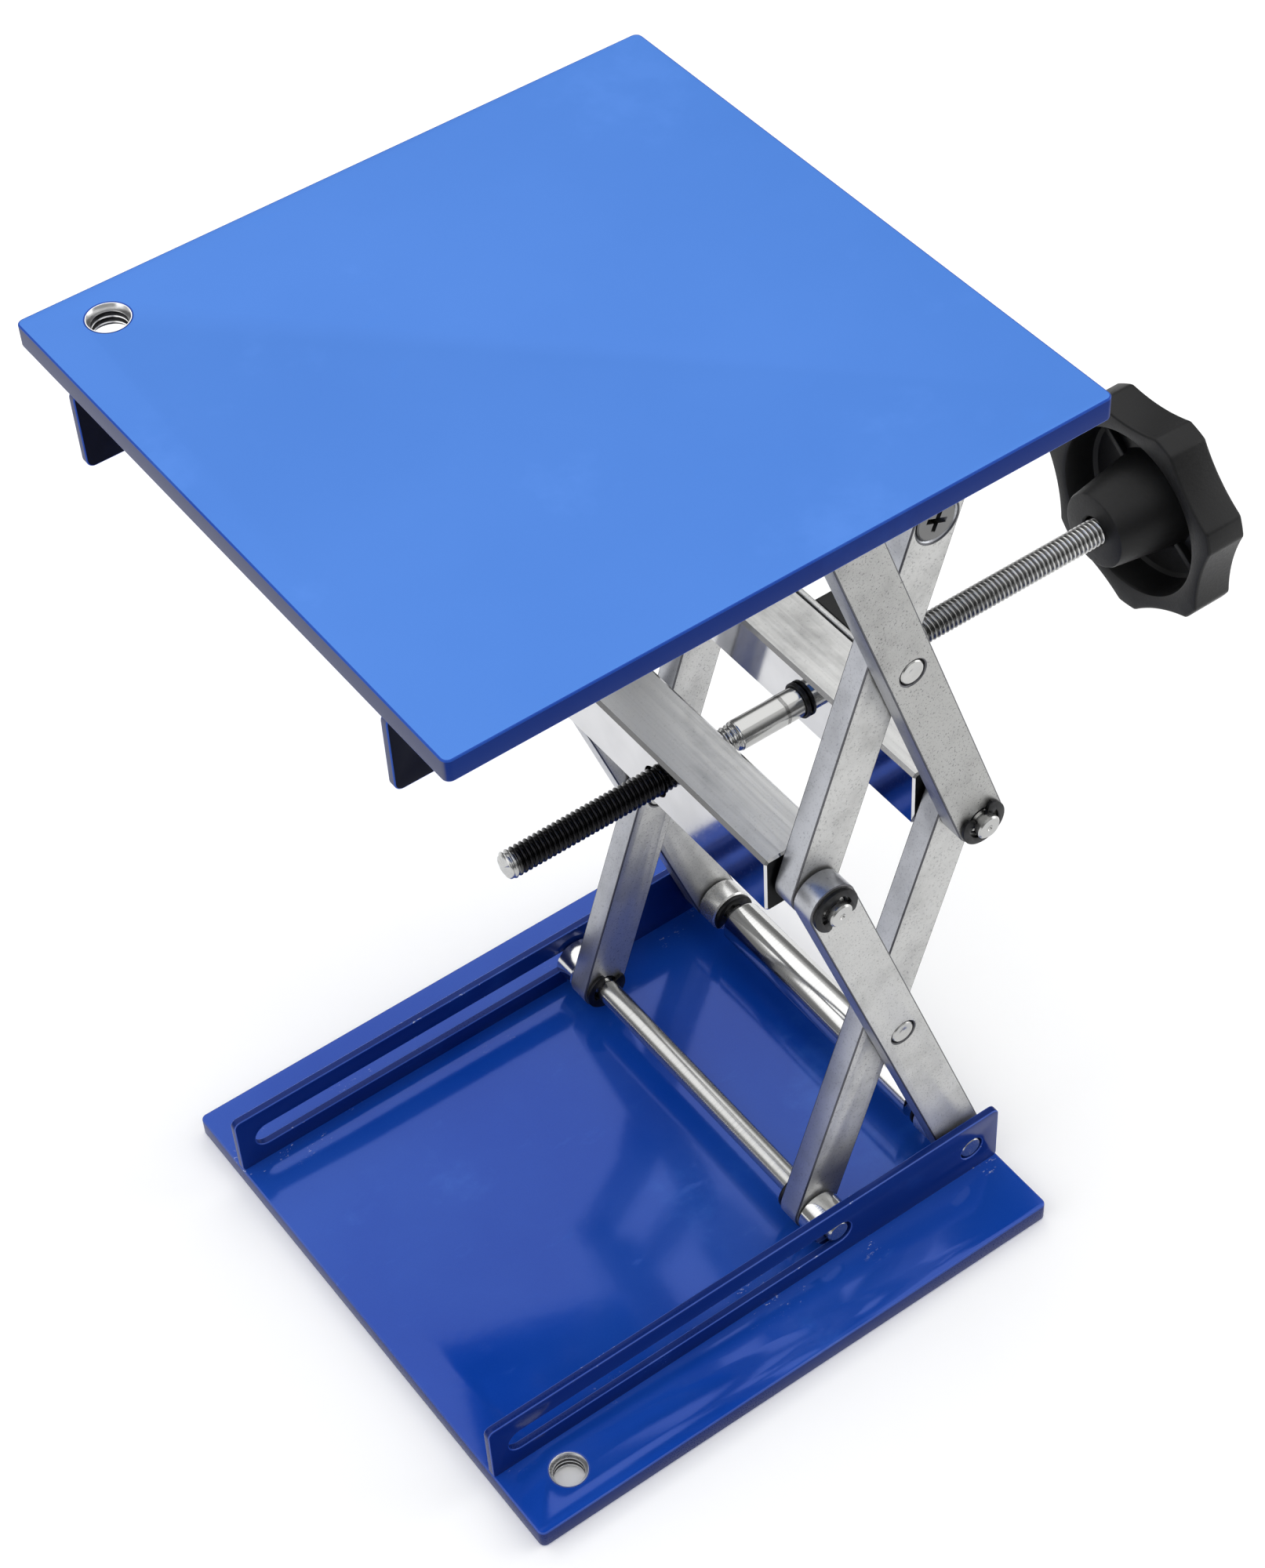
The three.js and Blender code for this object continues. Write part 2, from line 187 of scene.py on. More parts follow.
def inset(loop: Sequence[Point2], distance: float) -> list[Point2]:
    """Moves an outline to its left.

    Args:
        loop: a closed outline with the material on its left.
        distance: how far each side moves into the material.

    Returns:
        The moved outline.
    """
    moved: list[Point2] = []
    for before, here, after in zip(loop[-1:] + loop[:-1], loop, loop[1:] + loop[:1]):
        first = Vector((here[0] - before[0], here[1] - before[1])).normalized()
        second = Vector((after[0] - here[0], after[1] - here[1])).normalized()
        left = Vector((-first.y - second.y, first.x + second.x))
        reach = 2 * distance / max(left.length_squared, 1e-6)
        moved.append((here[0] + left.x * reach, here[1] + left.y * reach))
    return moved


def signed_area(loop: Sequence[Point2]) -> float:
    """Area of an outline, positive when it runs anticlockwise."""
    return sum(a[0] * b[1] - b[0] * a[1] for a, b in zip(loop, loop[1:] + loop[:1])) / 2


# ---- shells ----------------------------------------------------------------------------------


class Along(Enum):
    """The axis that a shape is pushed or turned about."""

    X = "x"
    Y = "y"
    Z = "z"

    def place(self, u: float, v: float, w: float) -> Vector:
        """Puts a flat point (u, v) at the height w on this axis."""
        if self is Along.X:
            return Vector((w, u, v))
        if self is Along.Y:
            return Vector((u, w, v))
        return Vector((u, v, w))


class Surface(IntEnum):
    """Material slots of a shell: its flat ends, its walls, its rounded edges and flat ribs."""

    CAP = 0
    WALL = 1
    EDGE = 2
    RIB = 3


@dataclass
class Shell:
    """A closed mesh that is put together from plates and turned shapes."""

    points: list[Vector] = field(default_factory=list)
    faces: list[tuple[int, ...]] = field(default_factory=list)
    surfaces: list[Surface] = field(default_factory=list)

    def ring(self, points: Sequence[Vector]) -> list[int]:
        """Adds points and returns their numbers."""
        first = len(self.points)
        self.points.extend(points)
        return list(range(first, len(self.points)))

    def face(self, corners: Sequence[int], surface: Surface) -> None:
        """Adds one face, leaving out repeated corners."""
        unique = tuple(dict.fromkeys(corners))
        if len(unique) > 2:
            self.faces.append(unique)
            self.surfaces.append(surface)

    def band(self, lower: Sequence[int], upper: Sequence[int], surface: Surface) -> None:
        """Joins two rings, either of which may be a single pole."""
        count = max(len(lower), len(upper))
        for k in range(count):
            a, b = lower[k % len(lower)], lower[(k + 1) % len(lower)]
            c, d = upper[(k + 1) % len(upper)], upper[k % len(upper)]
            self.face((a, b, c, d), surface)

    def plate(self, loops: Sequence[Sequence[Point2]], along: Along, low: float, high: float,
              edge: float = 0.3 * MM, steps: int = 3, cap: Surface = Surface.CAP) -> "Shell":
        """Adds a plate with round edges.

        Args:
            loops: the outer outline, then the outlines of its holes.
            along: the axis that the outline is pushed along.
            low: where the plate starts on that axis.
            high: where it ends.
            edge: radius of the rounded edges.
            steps: facets in each rounded edge.
            cap: the material slot of the flat ends.

        Returns:
            This shell.
        """
        turned = []
        for number, loop in enumerate(loops):
            wanted = number == 0
            points = list(loop)
            turned.append(points if (signed_area(points) > 0) == wanted else points[::-1])
        stations = []
        for k in range(steps + 1):
            turn = k / steps * math.pi / 2
            stations.append((edge * (1 - math.sin(turn)), edge * (1 - math.cos(turn))))
        levels = [(side, low + rise) for side, rise in stations]
        levels += [(side, high - rise) for side, rise in reversed(stations)]
        ends: list[list[list[int]]] = [[], []]
        for loop in turned:
            rings = [self.ring([along.place(u, v, level) for u, v in inset(loop, side)])
                     for side, level in levels]
            for k, (lower, upper) in enumerate(zip(rings, rings[1:])):
                self.band(lower, upper, Surface.WALL if k == steps else Surface.EDGE)
            ends[0].append(rings[0])
            ends[1].append(rings[-1])
        flat = [[Vector((u, v, 0)) for u, v in inset(loop, edge)] for loop in turned]
        triangles = tessellate_polygon(flat)
        for end in ends:
            numbers = [n for ring in end for n in ring]
            for triangle in triangles:
                self.face([numbers[n] for n in triangle], cap)
        return self

    def turned(self, profile: Sequence[Point2], along: Along, centre: Point2, segments: int = 64,
               closed: bool = False, marked: Sequence[int] = (),
               swell: Callable[[float, float], float] | None = None) -> "Shell":
        """Adds a shape of revolution.

        Args:
            profile: pairs of radius and height. It starts and ends on the axis unless closed.
            along: the axis of revolution.
            centre: where the axis stands in the plane across it.
            segments: steps round the axis.
            closed: joins the last point to the first, which makes a ring.
            marked: numbers of the profile's steps that go in the edge slot.
            swell: changes a radius, given the radius and the angle round the axis.

        Returns:
            This shell.
        """
        rings = []
        for radius, height in profile:
            if radius <= 0:
                rings.append(self.ring([along.place(*centre, height)]))
                continue
            points = []
            for k in range(segments):
                angle = TAU * k / segments
                r = swell(radius, angle) if swell else radius
                points.append(along.place(centre[0] + r * math.cos(angle),
                                          centre[1] + r * math.sin(angle), height))
            rings.append(self.ring(points))
        pairs = list(zip(rings, rings[1:]))
        if closed:
            pairs.append((rings[-1], rings[0]))
        for number, (lower, upper) in enumerate(pairs):
            self.band(lower, upper, Surface.EDGE if number in marked else Surface.WALL)
        return self

    def piece(self, name: str, *finishes: bpy.types.Material) -> bpy.types.Object:
        """Makes the object.

        Args:
            name: the piece's name.
            finishes: a material for each of Surface's slots; later slots take the last one given.

        Returns:
            The object, at the origin.
        """
        mesh = bpy.data.meshes.new(name)
        mesh.from_pydata(self.points, [], self.faces)
        for material in finishes:
            mesh.materials.append(material)
        for polygon, surface in zip(mesh.polygons, self.surfaces):
            polygon.material_index = min(int(surface), len(finishes) - 1)
            polygon.use_smooth = surface not in (Surface.CAP, Surface.RIB)
        face_outwards(mesh)
        mesh.set_sharp_from_angle(angle=SHARP_ANGLE)
        return linked(name, mesh)


def linked(name: str, data: bpy.types.ID) -> bpy.types.Object:
    """Puts data in the scene as a new object."""
    made = bpy.data.objects.new(name, data)
    bpy.context.scene.collection.objects.link(made)
    return made


def face_outwards(mesh: bpy.types.Mesh) -> None:
    """Turns every face of a closed mesh outwards."""
    work = bmesh.new()
    work.from_mesh(mesh)
    bmesh.ops.recalc_face_normals(work, faces=work.faces)
    work.to_mesh(mesh)
    work.free()


def settle(piece: bpy.types.Object, body: str, slot: str, *nodes: str) -> bpy.types.Object:
    """Gives a finished piece its body and the nodes that it stands for.

    Args:
        piece: the finished piece.
        body: the body that it rides on.
        slot: not used.
        nodes: the nodes that it replaces.

    Returns:
        The piece.
    """
    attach(piece, body)
    if nodes:
        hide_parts(*nodes)
    LOG.info("%s on %s, for %s", piece.name, body, ", ".join(nodes) or "no node")
    return piece


# ---- node trees ------------------------------------------------------------------------------


class Value:
    """A number carried by a node's output, with arithmetic that adds Math nodes."""

    def __init__(self, graph: "Graph", socket: bpy.types.NodeSocket) -> None:
        """Keeps the socket and the graph that it belongs to."""
        self.graph = graph
        self.socket = socket

    def _math(self, operation: str, *values: Any) -> "Value":
        """Adds one Math node on the given values."""
        inputs = dict(enumerate(values))
        return self.graph.out("ShaderNodeMath", {"operation": operation}, inputs)

    def __add__(self, other: Any) -> "Value":
        """Sum."""
        return self._math("ADD", self, other)

    def __radd__(self, other: Any) -> "Value":
        """Sum, reflected."""
        return self._math("ADD", other, self)

    def __sub__(self, other: Any) -> "Value":
        """Difference."""
        return self._math("SUBTRACT", self, other)

    def __rsub__(self, other: Any) -> "Value":
        """Difference, reflected."""
        return self._math("SUBTRACT", other, self)

    def __mul__(self, other: Any) -> "Value":
        """Product."""
        return self._math("MULTIPLY", self, other)

    def __rmul__(self, other: Any) -> "Value":
        """Product, reflected."""
        return self._math("MULTIPLY", other, self)

    def __truediv__(self, other: Any) -> "Value":
        """Quotient."""
        return self._math("DIVIDE", self, other)

    def __gt__(self, other: Any) -> "Value":
        """One where this value is the larger, otherwise nought."""
        return self._math("GREATER_THAN", self, other)

    def __lt__(self, other: Any) -> "Value":
        """One where this value is the smaller, otherwise nought."""
        return self._math("LESS_THAN", self, other)

    def __abs__(self) -> "Value":
        """Size without sign."""
        return self._math("ABSOLUTE", self)

    def least(self, other: Any) -> "Value":
        """The smaller of two values."""
        return self._math("MINIMUM", self, other)

    def most(self, other: Any) -> "Value":
        """The larger of two values."""
        return self._math("MAXIMUM", self, other)

    def fraction(self) -> "Value":
        """The part after the decimal point."""
        return self._math("FRACT", self)

    def root(self) -> "Value":
        """Square root."""
        return self._math("SQRT", self)

    def sine(self) -> "Value":
        """Sine of an angle in radians."""
        return self._math("SINE", self)

    def cosine(self) -> "Value":
        """Cosine of an angle in radians."""
        return self._math("COSINE", self)

    def ramp(self, low: float, high: float) -> "Value":
        """Rises smoothly from 0 at low to 1 at high."""
        return self.graph.out("ShaderNodeMapRange", {"interpolation_type": "SMOOTHSTEP"},
                              {"Value": self, "From Min": low, "From Max": high})


class Graph:
    """Adds nodes to one shader or geometry tree."""

    def __init__(self, tree: bpy.types.NodeTree) -> None:
        """Keeps the tree."""
        self.tree = tree

    def node(self, kind: str, settings: dict[str, Any] | None = None,
             inputs: dict[Any, Any] | None = None) -> bpy.types.Node:
        """Adds a node.

        Args:
            kind: the node's type.
            settings: its properties, which are set first.
            inputs: values or links of its sockets, by name or number.

        Returns:
            The node.
        """
        made = self.tree.nodes.new(kind)
        for name, value in (settings or {}).items():
            setattr(made, name, value)
        for name, value in (inputs or {}).items():
            socket = made.inputs[name]
            if isinstance(value, Value):
                value = value.socket
            if isinstance(value, bpy.types.NodeSocket):
                self.tree.links.new(value, socket)
            else:
                socket.default_value = value
        return made

    def out(self, kind: str, settings: dict[str, Any] | None = None,
            inputs: dict[Any, Any] | None = None, output: Any = 0) -> Value:
        """Adds a node and returns one of its outputs as a value."""
        return Value(self, self.node(kind, settings, inputs).outputs[output])

    def parts(self, vector: Any) -> tuple[Value, Value, Value]:
        """Splits a vector into its three numbers."""
        split = self.node("ShaderNodeSeparateXYZ", None, {0: vector})
        x, y, z = (Value(self, socket) for socket in split.outputs)
        return x, y, z


class Paint(Graph):
    """The node tree of one material, on Object coordinates."""

    def __init__(self, name: str) -> None:
        """Starts a material with an empty tree."""
        self.material = bpy.data.materials.new(name)
        self.material.use_nodes = True
        super().__init__(self.material.node_tree)
        self.tree.nodes.clear()
        self.place = self.node("ShaderNodeTexCoord")

    @property
    def at(self) -> bpy.types.NodeSocket:
        """The point on the surface, in metres."""
        return self.place.outputs["Object"]

    @property
    def facing(self) -> bpy.types.NodeSocket:
        """The surface's normal in the piece's own axes."""
        return self.place.outputs["Normal"]

    def noise(self, per_metre: float, detail: float = 3.0, roughness: float = 0.5,
              stretch: Point3 = (1, 1, 1)) -> Value:
        """Noise of a given fineness.

        Args:
            per_metre: how many cells fit in a metre.
            detail: how many finer octaves are added.
            roughness: how strong those octaves are.
            stretch: scale on each axis, where under 1 draws the pattern out.

        Returns:
            A value about 0.5.
        """
        where = self.node("ShaderNodeMapping", {"vector_type": "POINT"},
                          {"Vector": self.at, "Scale": stretch}).outputs[0]
        return self.out("ShaderNodeTexNoise", {"noise_dimensions": "3D"},
                        {"Vector": where, "Scale": per_metre, "Detail": detail,
                         "Roughness": roughness}, "Fac")

    def blend(self, mask: Any, first: Any, second: Any) -> bpy.types.NodeSocket:
        """Mixes two colours, the second where the mask is 1."""
        ends = [(*c, 1.0) if isinstance(c, tuple) and len(c) == 3 else c for c in (first, second)]
        mix = self.node("ShaderNodeMix", {"data_type": "RGBA", "clamp_factor": True},
                        {0: mask, 6: ends[0], 7: ends[1]})
        return mix.outputs[2]

    def bump(self, height: Value, depth: float, strength: float = 1.0) -> bpy.types.NodeSocket:
        """Turns a height into a normal."""
        return self.node("ShaderNodeBump", None, {"Strength": strength, "Distance": depth,
                                                  "Height": height}).outputs[0]

    def finish(self, **sockets: Any) -> bpy.types.Material:
        """Adds the surface shader.

        Args:
            sockets: its values or links, with _ for a space in the name.

        Returns:
            The finished material.
        """
        inputs = {name.replace("_", " "): value for name, value in sockets.items()}
        for name, value in inputs.items():
            if isinstance(value, tuple) and len(value) == 3 and name.endswith(("Color", "Tint")):
                inputs[name] = (*value, 1.0)
        shader = self.node("ShaderNodeBsdfPrincipled", None, inputs)
        self.node("ShaderNodeOutputMaterial", None, {"Surface": shader.outputs[0]})
        return self.material


# ---- finishes --------------------------------------------------------------------------------


def scaled(colour: Colour, factor: float) -> Colour:
    """A colour made darker or lighter."""
    red, green, blue = colour
    return factor * red, factor * green, factor * blue


@dataclass(frozen=True)
class Enamel:
    """Blue enamel on metal: faint orange peel, cloudy tone, handling marks, chips by the ribs and pale
    patches of painted reflection; end faces along X may be painted greyer as reflection.
    """

    RIB_AT: ClassVar[float] = 54.9 * MM

    name: str
    colour: Colour
    # pale: the lighter tone of the cloudy mottling, and also the colour of the painted reflection patches
    pale: Colour
    roughness: float
    shine: float = 0.3
    chips: float = 0.0
    # Painted reflection: an optional greyer colour for the end faces that face along X.
    painted_end_reflection: Colour | None = None

    def build(self) -> bpy.types.Material:
        """Makes the material."""
        paint = Paint(self.name)
        cloud = paint.noise(11, 4, 0.55)
        peel = paint.noise(420, 2, 0.5)
        grain = paint.noise(2400, 2, 0.6)
        scuff = paint.noise(150, 6, 0.72, (0.4, 1, 1)).ramp(0.60, 0.72)
        # Painted reflection: pale blotches that stand in for reflections of the parts above the enamel.
        painted_reflection_haze = paint.noise(26, 6, 0.62).ramp(0.58, 0.74)
        mask = (cloud.ramp(0.30, 0.72) * 0.6 + (grain - 0.5) * 0.35 + scuff * 0.3 + painted_reflection_haze * 0.8).most(0)
        colour = paint.blend(mask, self.colour, self.pale)
        rough = self.roughness + (cloud - 0.5) * 0.06 + scuff * 0.12 + (grain - 0.5) * 0.05
        if self.chips:
            chipped = self._chipped(paint) * self.chips
            colour = paint.blend(chipped, colour, (0.50, 0.55, 0.66))
            rough = rough + chipped * 0.3
        # Painted reflection: the end faces along X are painted greyer.
        if self.painted_end_reflection:
            end = abs(paint.parts(paint.facing)[0]).ramp(0.7, 0.95)
            colour = paint.blend(end, colour, self.painted_end_reflection)
        return paint.finish(
            Base_Color=colour, Metallic=0.15, Specular_IOR_Level=self.shine, Roughness=rough,
            Normal=paint.bump(peel * 0.8 + grain * 0.2, 0.02 * MM, 0.5))

    def _chipped(self, paint: Paint) -> Value:
        """Small bare chips, in patches along the feet of the two ribs."""
        off = abs(abs(paint.parts(paint.at)[1]) - self.RIB_AT)
        flecks = paint.noise(620, 5, 0.8, (0.45, 1, 1)).ramp(0.60, 0.66)
        patches = paint.noise(34, 2, 0.5).ramp(0.50, 0.58)
        return flecks * patches * (1 - off.ramp(2 * MM, 9 * MM))


@dataclass(frozen=True)
class Tumbled:
    """Vibratory-tumbled bare aluminium: a bright skin with fine dark pits."""

    name: str
    colour: Colour
    pit: Colour
    roughness: float
    pitting: float = 0.8

    def build(self) -> bpy.types.Material:
        """Makes the material."""
        paint = Paint(self.name)
        cloud = paint.noise(85, 5, 0.6)
        fine = paint.noise(1900, 4, 0.7)
        coarse = paint.noise(620, 5, 0.75)
        pits = (fine.ramp(0.54, 0.68) * 0.7 + coarse.ramp(0.62, 0.78) * 0.4).least(1) * self.pitting
        skin = paint.blend(cloud.ramp(0.4, 0.75), self.colour, scaled(self.colour, 0.78))
        return paint.finish(
            Base_Color=paint.blend(pits, skin, self.pit), Metallic=0.9,
            Roughness=self.roughness + pits * 0.2 + (cloud - 0.5) * 0.12,
            Normal=paint.bump(fine * 0.6 + coarse * 0.4 - pits * 0.4, 0.05 * MM, 0.7))


@dataclass(frozen=True)
class Ground:
    """Ground bar stock: mirror-like sides, a smudged top with fine lines, and end faces painted near black as
    shade.
    """

    name: str
    colour: Colour
    top: Colour
    # end: painted shade, the near-black colour of the end faces across Y
    end: Colour
    polish: float
    brushing: float

    def build(self) -> bpy.types.Material:
        """Makes the material."""
        paint = Paint(self.name)
        across = paint.parts(paint.facing)
        up, end = abs(across[2]).ramp(0.75, 0.95), abs(across[1]).ramp(0.8, 0.95)
        lines = paint.noise(1100, 3, 0.6, (1, 0.02, 1))
        specks = paint.noise(1900, 3, 0.65).ramp(0.58, 0.72)
        cloud = paint.noise(45, 3, 0.6)
        smudge = paint.noise(38, 5, 0.6, (1, 0.6, 1)).ramp(0.52, 0.72)
        sides = paint.blend(cloud.ramp(0.25, 0.75), self.colour, scaled(self.colour, 0.82))
        worn = (lines - 0.35) * 0.45 + specks * 0.3 + smudge * 0.55
        face = paint.blend(worn, self.top, scaled(self.top, 0.42))
        # Painted shade: the end faces across Y are darkened.
        ends_painted_shade = paint.blend(end, paint.blend(up, sides, face), self.end)
        polished = self.polish + cloud * 0.06 + specks * 0.06 + end * 0.3
        brushed = self.brushing + (lines - 0.5) * 0.25 + smudge * 0.08
        return paint.finish(
            Base_Color=ends_painted_shade, Metallic=1.0,
            Roughness=polished * (1 - up) + brushed * up,
            Normal=paint.bump(lines * up * 0.6 + specks * 0.1 + cloud * 1.5, 0.02 * MM, 0.5))


@dataclass(frozen=True)
class Turned:
    """Turned and polished steel, with faint tool rings about Y."""

    name: str
    colour: Colour
    roughness: float

    def build(self) -> bpy.types.Material:
        """Makes the material."""
        paint = Paint(self.name)
        rings = paint.noise(3200, 2, 0.5, (0.03, 1, 0.03))
        cloud = paint.noise(60, 3, 0.6)
        colour = paint.blend((rings - 0.35) * 0.7 + (cloud - 0.4) * 0.4, self.colour,
                             scaled(self.colour, 0.72))
        return paint.finish(
            Base_Color=colour, Metallic=1.0,
            Roughness=self.roughness + (rings - 0.5) * 0.10 + (cloud - 0.5) * 0.10,
            Normal=paint.bump(rings, 0.012 * MM, 0.5))


@dataclass(frozen=True)
class Blackened:
    """Oil-blackened spring steel. It also serves as painted shade in the tapped holes' grooves."""

    name: str
    colour: Colour

    def build(self) -> bpy.types.Material:
        """Makes the material."""
        paint = Paint(self.name)
        cloud = paint.noise(420, 4, 0.6)
        colour = paint.blend(cloud.ramp(0.45, 0.75), self.colour, scaled(self.colour, 3.2))
        return paint.finish(Base_Color=colour, Metallic=0.7, Roughness=0.30 + cloud * 0.25,
                            Normal=paint.bump(cloud, 0.02 * MM, 0.6))


@dataclass(frozen=True)
class OiledScrew:
    """Screw steel: greasy and dark on the nut's side, bright on the plain shank, grey by the knob. Its crests
    are painted lighter as highlight and its grooves by the knob darker as shade.
    """

    CREST: ClassVar[float] = 3.4 * MM
    ROOT: ClassVar[float] = 2.75 * MM

    name: str
    dark: Colour
    bright: Colour
    grey: Colour
    worn_to: float
    dark_to: float
    bright_to: float

    def build(self) -> bpy.types.Material:
        """Makes the material."""
        paint = Paint(self.name)
        x, y, z = paint.parts(paint.at)
        up = z - Extent.of("drive_screw").centre.z
        radius = (y * y + up * up).root()
        crest = radius.ramp(self.ROOT + 0.15 * MM, self.CREST - 0.1 * MM)
        grease = paint.noise(500, 4, 0.65)
        beyond_dark = x.ramp(self.dark_to - 0.5 * MM, self.dark_to + 0.5 * MM)
        beyond_bright = x.ramp(self.bright_to - 0.5 * MM, self.bright_to + 0.5 * MM)
        worn_end = 1 - x.ramp(self.worn_to - 1.2 * MM, self.worn_to + 1.2 * MM)
        # Painted highlight: the crests of the black thread are lighter.
        blackened = paint.blend(crest * 0.7 + grease.ramp(0.5, 0.8) * 0.3, self.dark,
                                scaled(self.dark, 4))
        first = paint.blend(worn_end * 0.8, blackened, self.grey)
        towards_knob = x.ramp(95 * MM, 145 * MM)
        crests = paint.blend(towards_knob, scaled(self.grey, 0.5), self.grey)
        # Painted shade and highlight: the grooves by the knob are darkened and the crests left lighter.
        last = paint.blend(crest * (1 - grease.ramp(0.55, 0.8) * 0.4),
                           scaled(self.grey, 0.16), crests)
        colour = paint.blend(beyond_bright, paint.blend(beyond_dark, first, self.bright), last)
        roughness = 0.22 - beyond_dark * 0.08 + beyond_bright * 0.06 + (grease - 0.5) * 0.10
        return paint.finish(Base_Color=colour, Metallic=0.95, Roughness=roughness,
                            Normal=paint.bump(grease, 0.01 * MM, 0.3))


@dataclass(frozen=True)
class Moulded:
    """Black moulded plastic with a fine spark-eroded texture."""

    name: str
    colour: Colour
    roughness: float

    def build(self) -> bpy.types.Material:
        """Makes the material."""
        paint = Paint(self.name)
        grain = paint.noise(1500, 3, 0.6)
        cloud = paint.noise(50, 3, 0.6)
        colour = paint.blend(cloud.ramp(0.35, 0.75) * 0.6 + (grain - 0.5) * 0.5, self.colour,
                             scaled(self.colour, 1.6))
        return paint.finish(Base_Color=colour, Metallic=0.0, Specular_IOR_Level=0.25,
                            Roughness=self.roughness + (grain - 0.5) * 0.25 + (cloud - 0.5) * 0.1,
                            Normal=paint.bump(grain, 0.05 * MM, 0.6))


class Finish(Enum):
    """Every finish on the jack."""

    # The plates' finishes are copies of one enamel, painted for light and shade: the platform's face lighter
    # than the base's face as painted light, the sides and ribs darker as painted shade, the rounded edges
    # lighter as painted highlight.
    PLATFORM = Enamel("platform_face_enamel", (0.050, 0.185, 0.60), (0.064, 0.21, 0.65), 0.46, 0.3)
    PLATFORM_SIDE = Enamel("platform_side_enamel", (0.003, 0.022, 0.17), (0.006, 0.035, 0.22), 0.5, 0.08,
                           painted_end_reflection=(0.09, 0.10, 0.17))
    PLATFORM_EDGE = Enamel("platform_edge_enamel", (0.006, 0.05, 0.34), (0.02, 0.09, 0.42), 0.4, 0.2)
    PLATFORM_RIB = Enamel("platform_rib_enamel", (0.001, 0.002, 0.010), (0.002, 0.004, 0.016), 0.5, 0.06)
    BASE = Enamel("base_face_enamel", (0.003, 0.046, 0.34), (0.016, 0.082, 0.42), 0.10, 0.34, 1.0)
    BASE_SIDE = Enamel("base_side_enamel", (0.002, 0.014, 0.12), (0.005, 0.024, 0.16), 0.28, 0.15)
    BASE_EDGE = Enamel("base_edge_enamel", (0.012, 0.055, 0.34), (0.06, 0.12, 0.44), 0.24, 0.4, 1.0)
    BASE_RIB = Enamel("base_rib_enamel", (0.002, 0.015, 0.14), (0.006, 0.032, 0.20), 0.16, 0.25)
    ARM = Tumbled("arm_face_tumbled", (0.56, 0.56, 0.55), (0.13, 0.13, 0.14), 0.42)
    ARM_UPPER = Tumbled("arm_upper_tumbled", (0.43, 0.43, 0.42), (0.05, 0.05, 0.06), 0.44, 1.0)
    ARM_SIDE = Tumbled("arm_side_tumbled", (0.44, 0.45, 0.48), (0.12, 0.12, 0.14), 0.32, 0.6)
    # Painted shade: the arms' rounded edges are made near black along the corners.
    ARM_EDGE = Tumbled("arm_edge_tumbled", (0.12, 0.12, 0.13), (0.04, 0.04, 0.04), 0.40, 0.6)
    SLEEVE = Tumbled("sleeve_tumbled", (0.66, 0.66, 0.65), (0.16, 0.16, 0.17), 0.26, 0.6)
    BAR = Ground("bar_stock_ground", (0.70, 0.70, 0.71), (0.55, 0.55, 0.54), (0.012, 0.012, 0.012),
                 0.05, 0.40)
    TAPPED = Turned("tapped_bare", (0.86, 0.86, 0.86), 0.30)
    # Painted shade for the grooves of the tapped holes.
    GROOVE = Blackened("tapped_groove", (0.02, 0.02, 0.022))
    STEEL = Turned("pin_turned_steel", (0.50, 0.50, 0.49), 0.24)
    HEAD = Turned("screw_head_zinc", (0.17, 0.17, 0.17), 0.34)
    CHROME = Turned("tube_turned_chrome", (0.68, 0.68, 0.67), 0.13)
    CLIP = Blackened("clip_oil_black", (0.009, 0.009, 0.010))
    SCREW = OiledScrew("screw_oiled", (0.005, 0.005, 0.0055), (0.46, 0.46, 0.45), (0.62, 0.62, 0.61),
                       -20.5 * MM, 36.8 * MM, 66 * MM)
    PLASTIC = Moulded("knob_black_moulded", (0.0055, 0.0055, 0.0058), 0.42)

    @property
    def material(self) -> bpy.types.Material:
        """The finish's material, made on first use."""
        return bpy.data.materials.get(self.value.name) or self.value.build()


# ---- geometry node trees ---------------------------------------------------------------------


class Recipe(Graph):
    """A geometry node tree with named inputs."""

    def __init__(self, name: str, inputs: dict[str, str]) -> None:
        """Starts the tree.

        Args:
            name: the tree's name.
            inputs: input names and their socket types.
        """
        super().__init__(bpy.data.node_groups.new(name, "GeometryNodeTree"))
        face = self.tree.interface
        face.new_socket("Geometry", in_out="INPUT", socket_type="NodeSocketGeometry")
        self.identifiers = {}
        for label, kind in inputs.items():
            made = face.new_socket(label, in_out="INPUT", socket_type=f"NodeSocket{kind}")
            self.identifiers[label] = made.identifier
        face.new_socket("Geometry", in_out="OUTPUT", socket_type="NodeSocketGeometry")
        self.source = self.node("NodeGroupInput")

    def input(self, label: str) -> Value:
        """One of the named inputs."""
        return Value(self, self.source.outputs[label])

    def close(self, geometry: Value) -> None:
        """Ends the tree in Realize Instances and Set Material."""
        real = self.out("GeometryNodeRealizeInstances", None, {0: geometry})
        dressed = self.out("GeometryNodeSetMaterial", None,
                           {"Geometry": real, "Material": self.input("Material")})
        self.node("NodeGroupOutput", None, {0: dressed})

    def cook(self, name: str, start: bpy.types.Mesh, **values: Any) -> bpy.types.Mesh:
        """Runs the tree once.

        Args:
            name: name of the resulting mesh.
            start: the mesh that the modifier is put on.
            values: input values, with _ for a space in the name.

        Returns:
            The result as a plain mesh.
        """
        carrier = linked(f"{name}_carrier", start)
        modifier = carrier.modifiers.new("recipe", "NODES")
        modifier.node_group = self.tree
        for label, value in values.items():
            modifier[self.identifiers[label.replace("_", " ")]] = value
        graph = bpy.context.evaluated_depsgraph_get()
        graph.update()
        mesh = bpy.data.meshes.new_from_object(carrier.evaluated_get(graph), depsgraph=graph)
        mesh.name = name
        carrier.modifiers.remove(modifier)
        bpy.data.objects.remove(carrier)
        return mesh


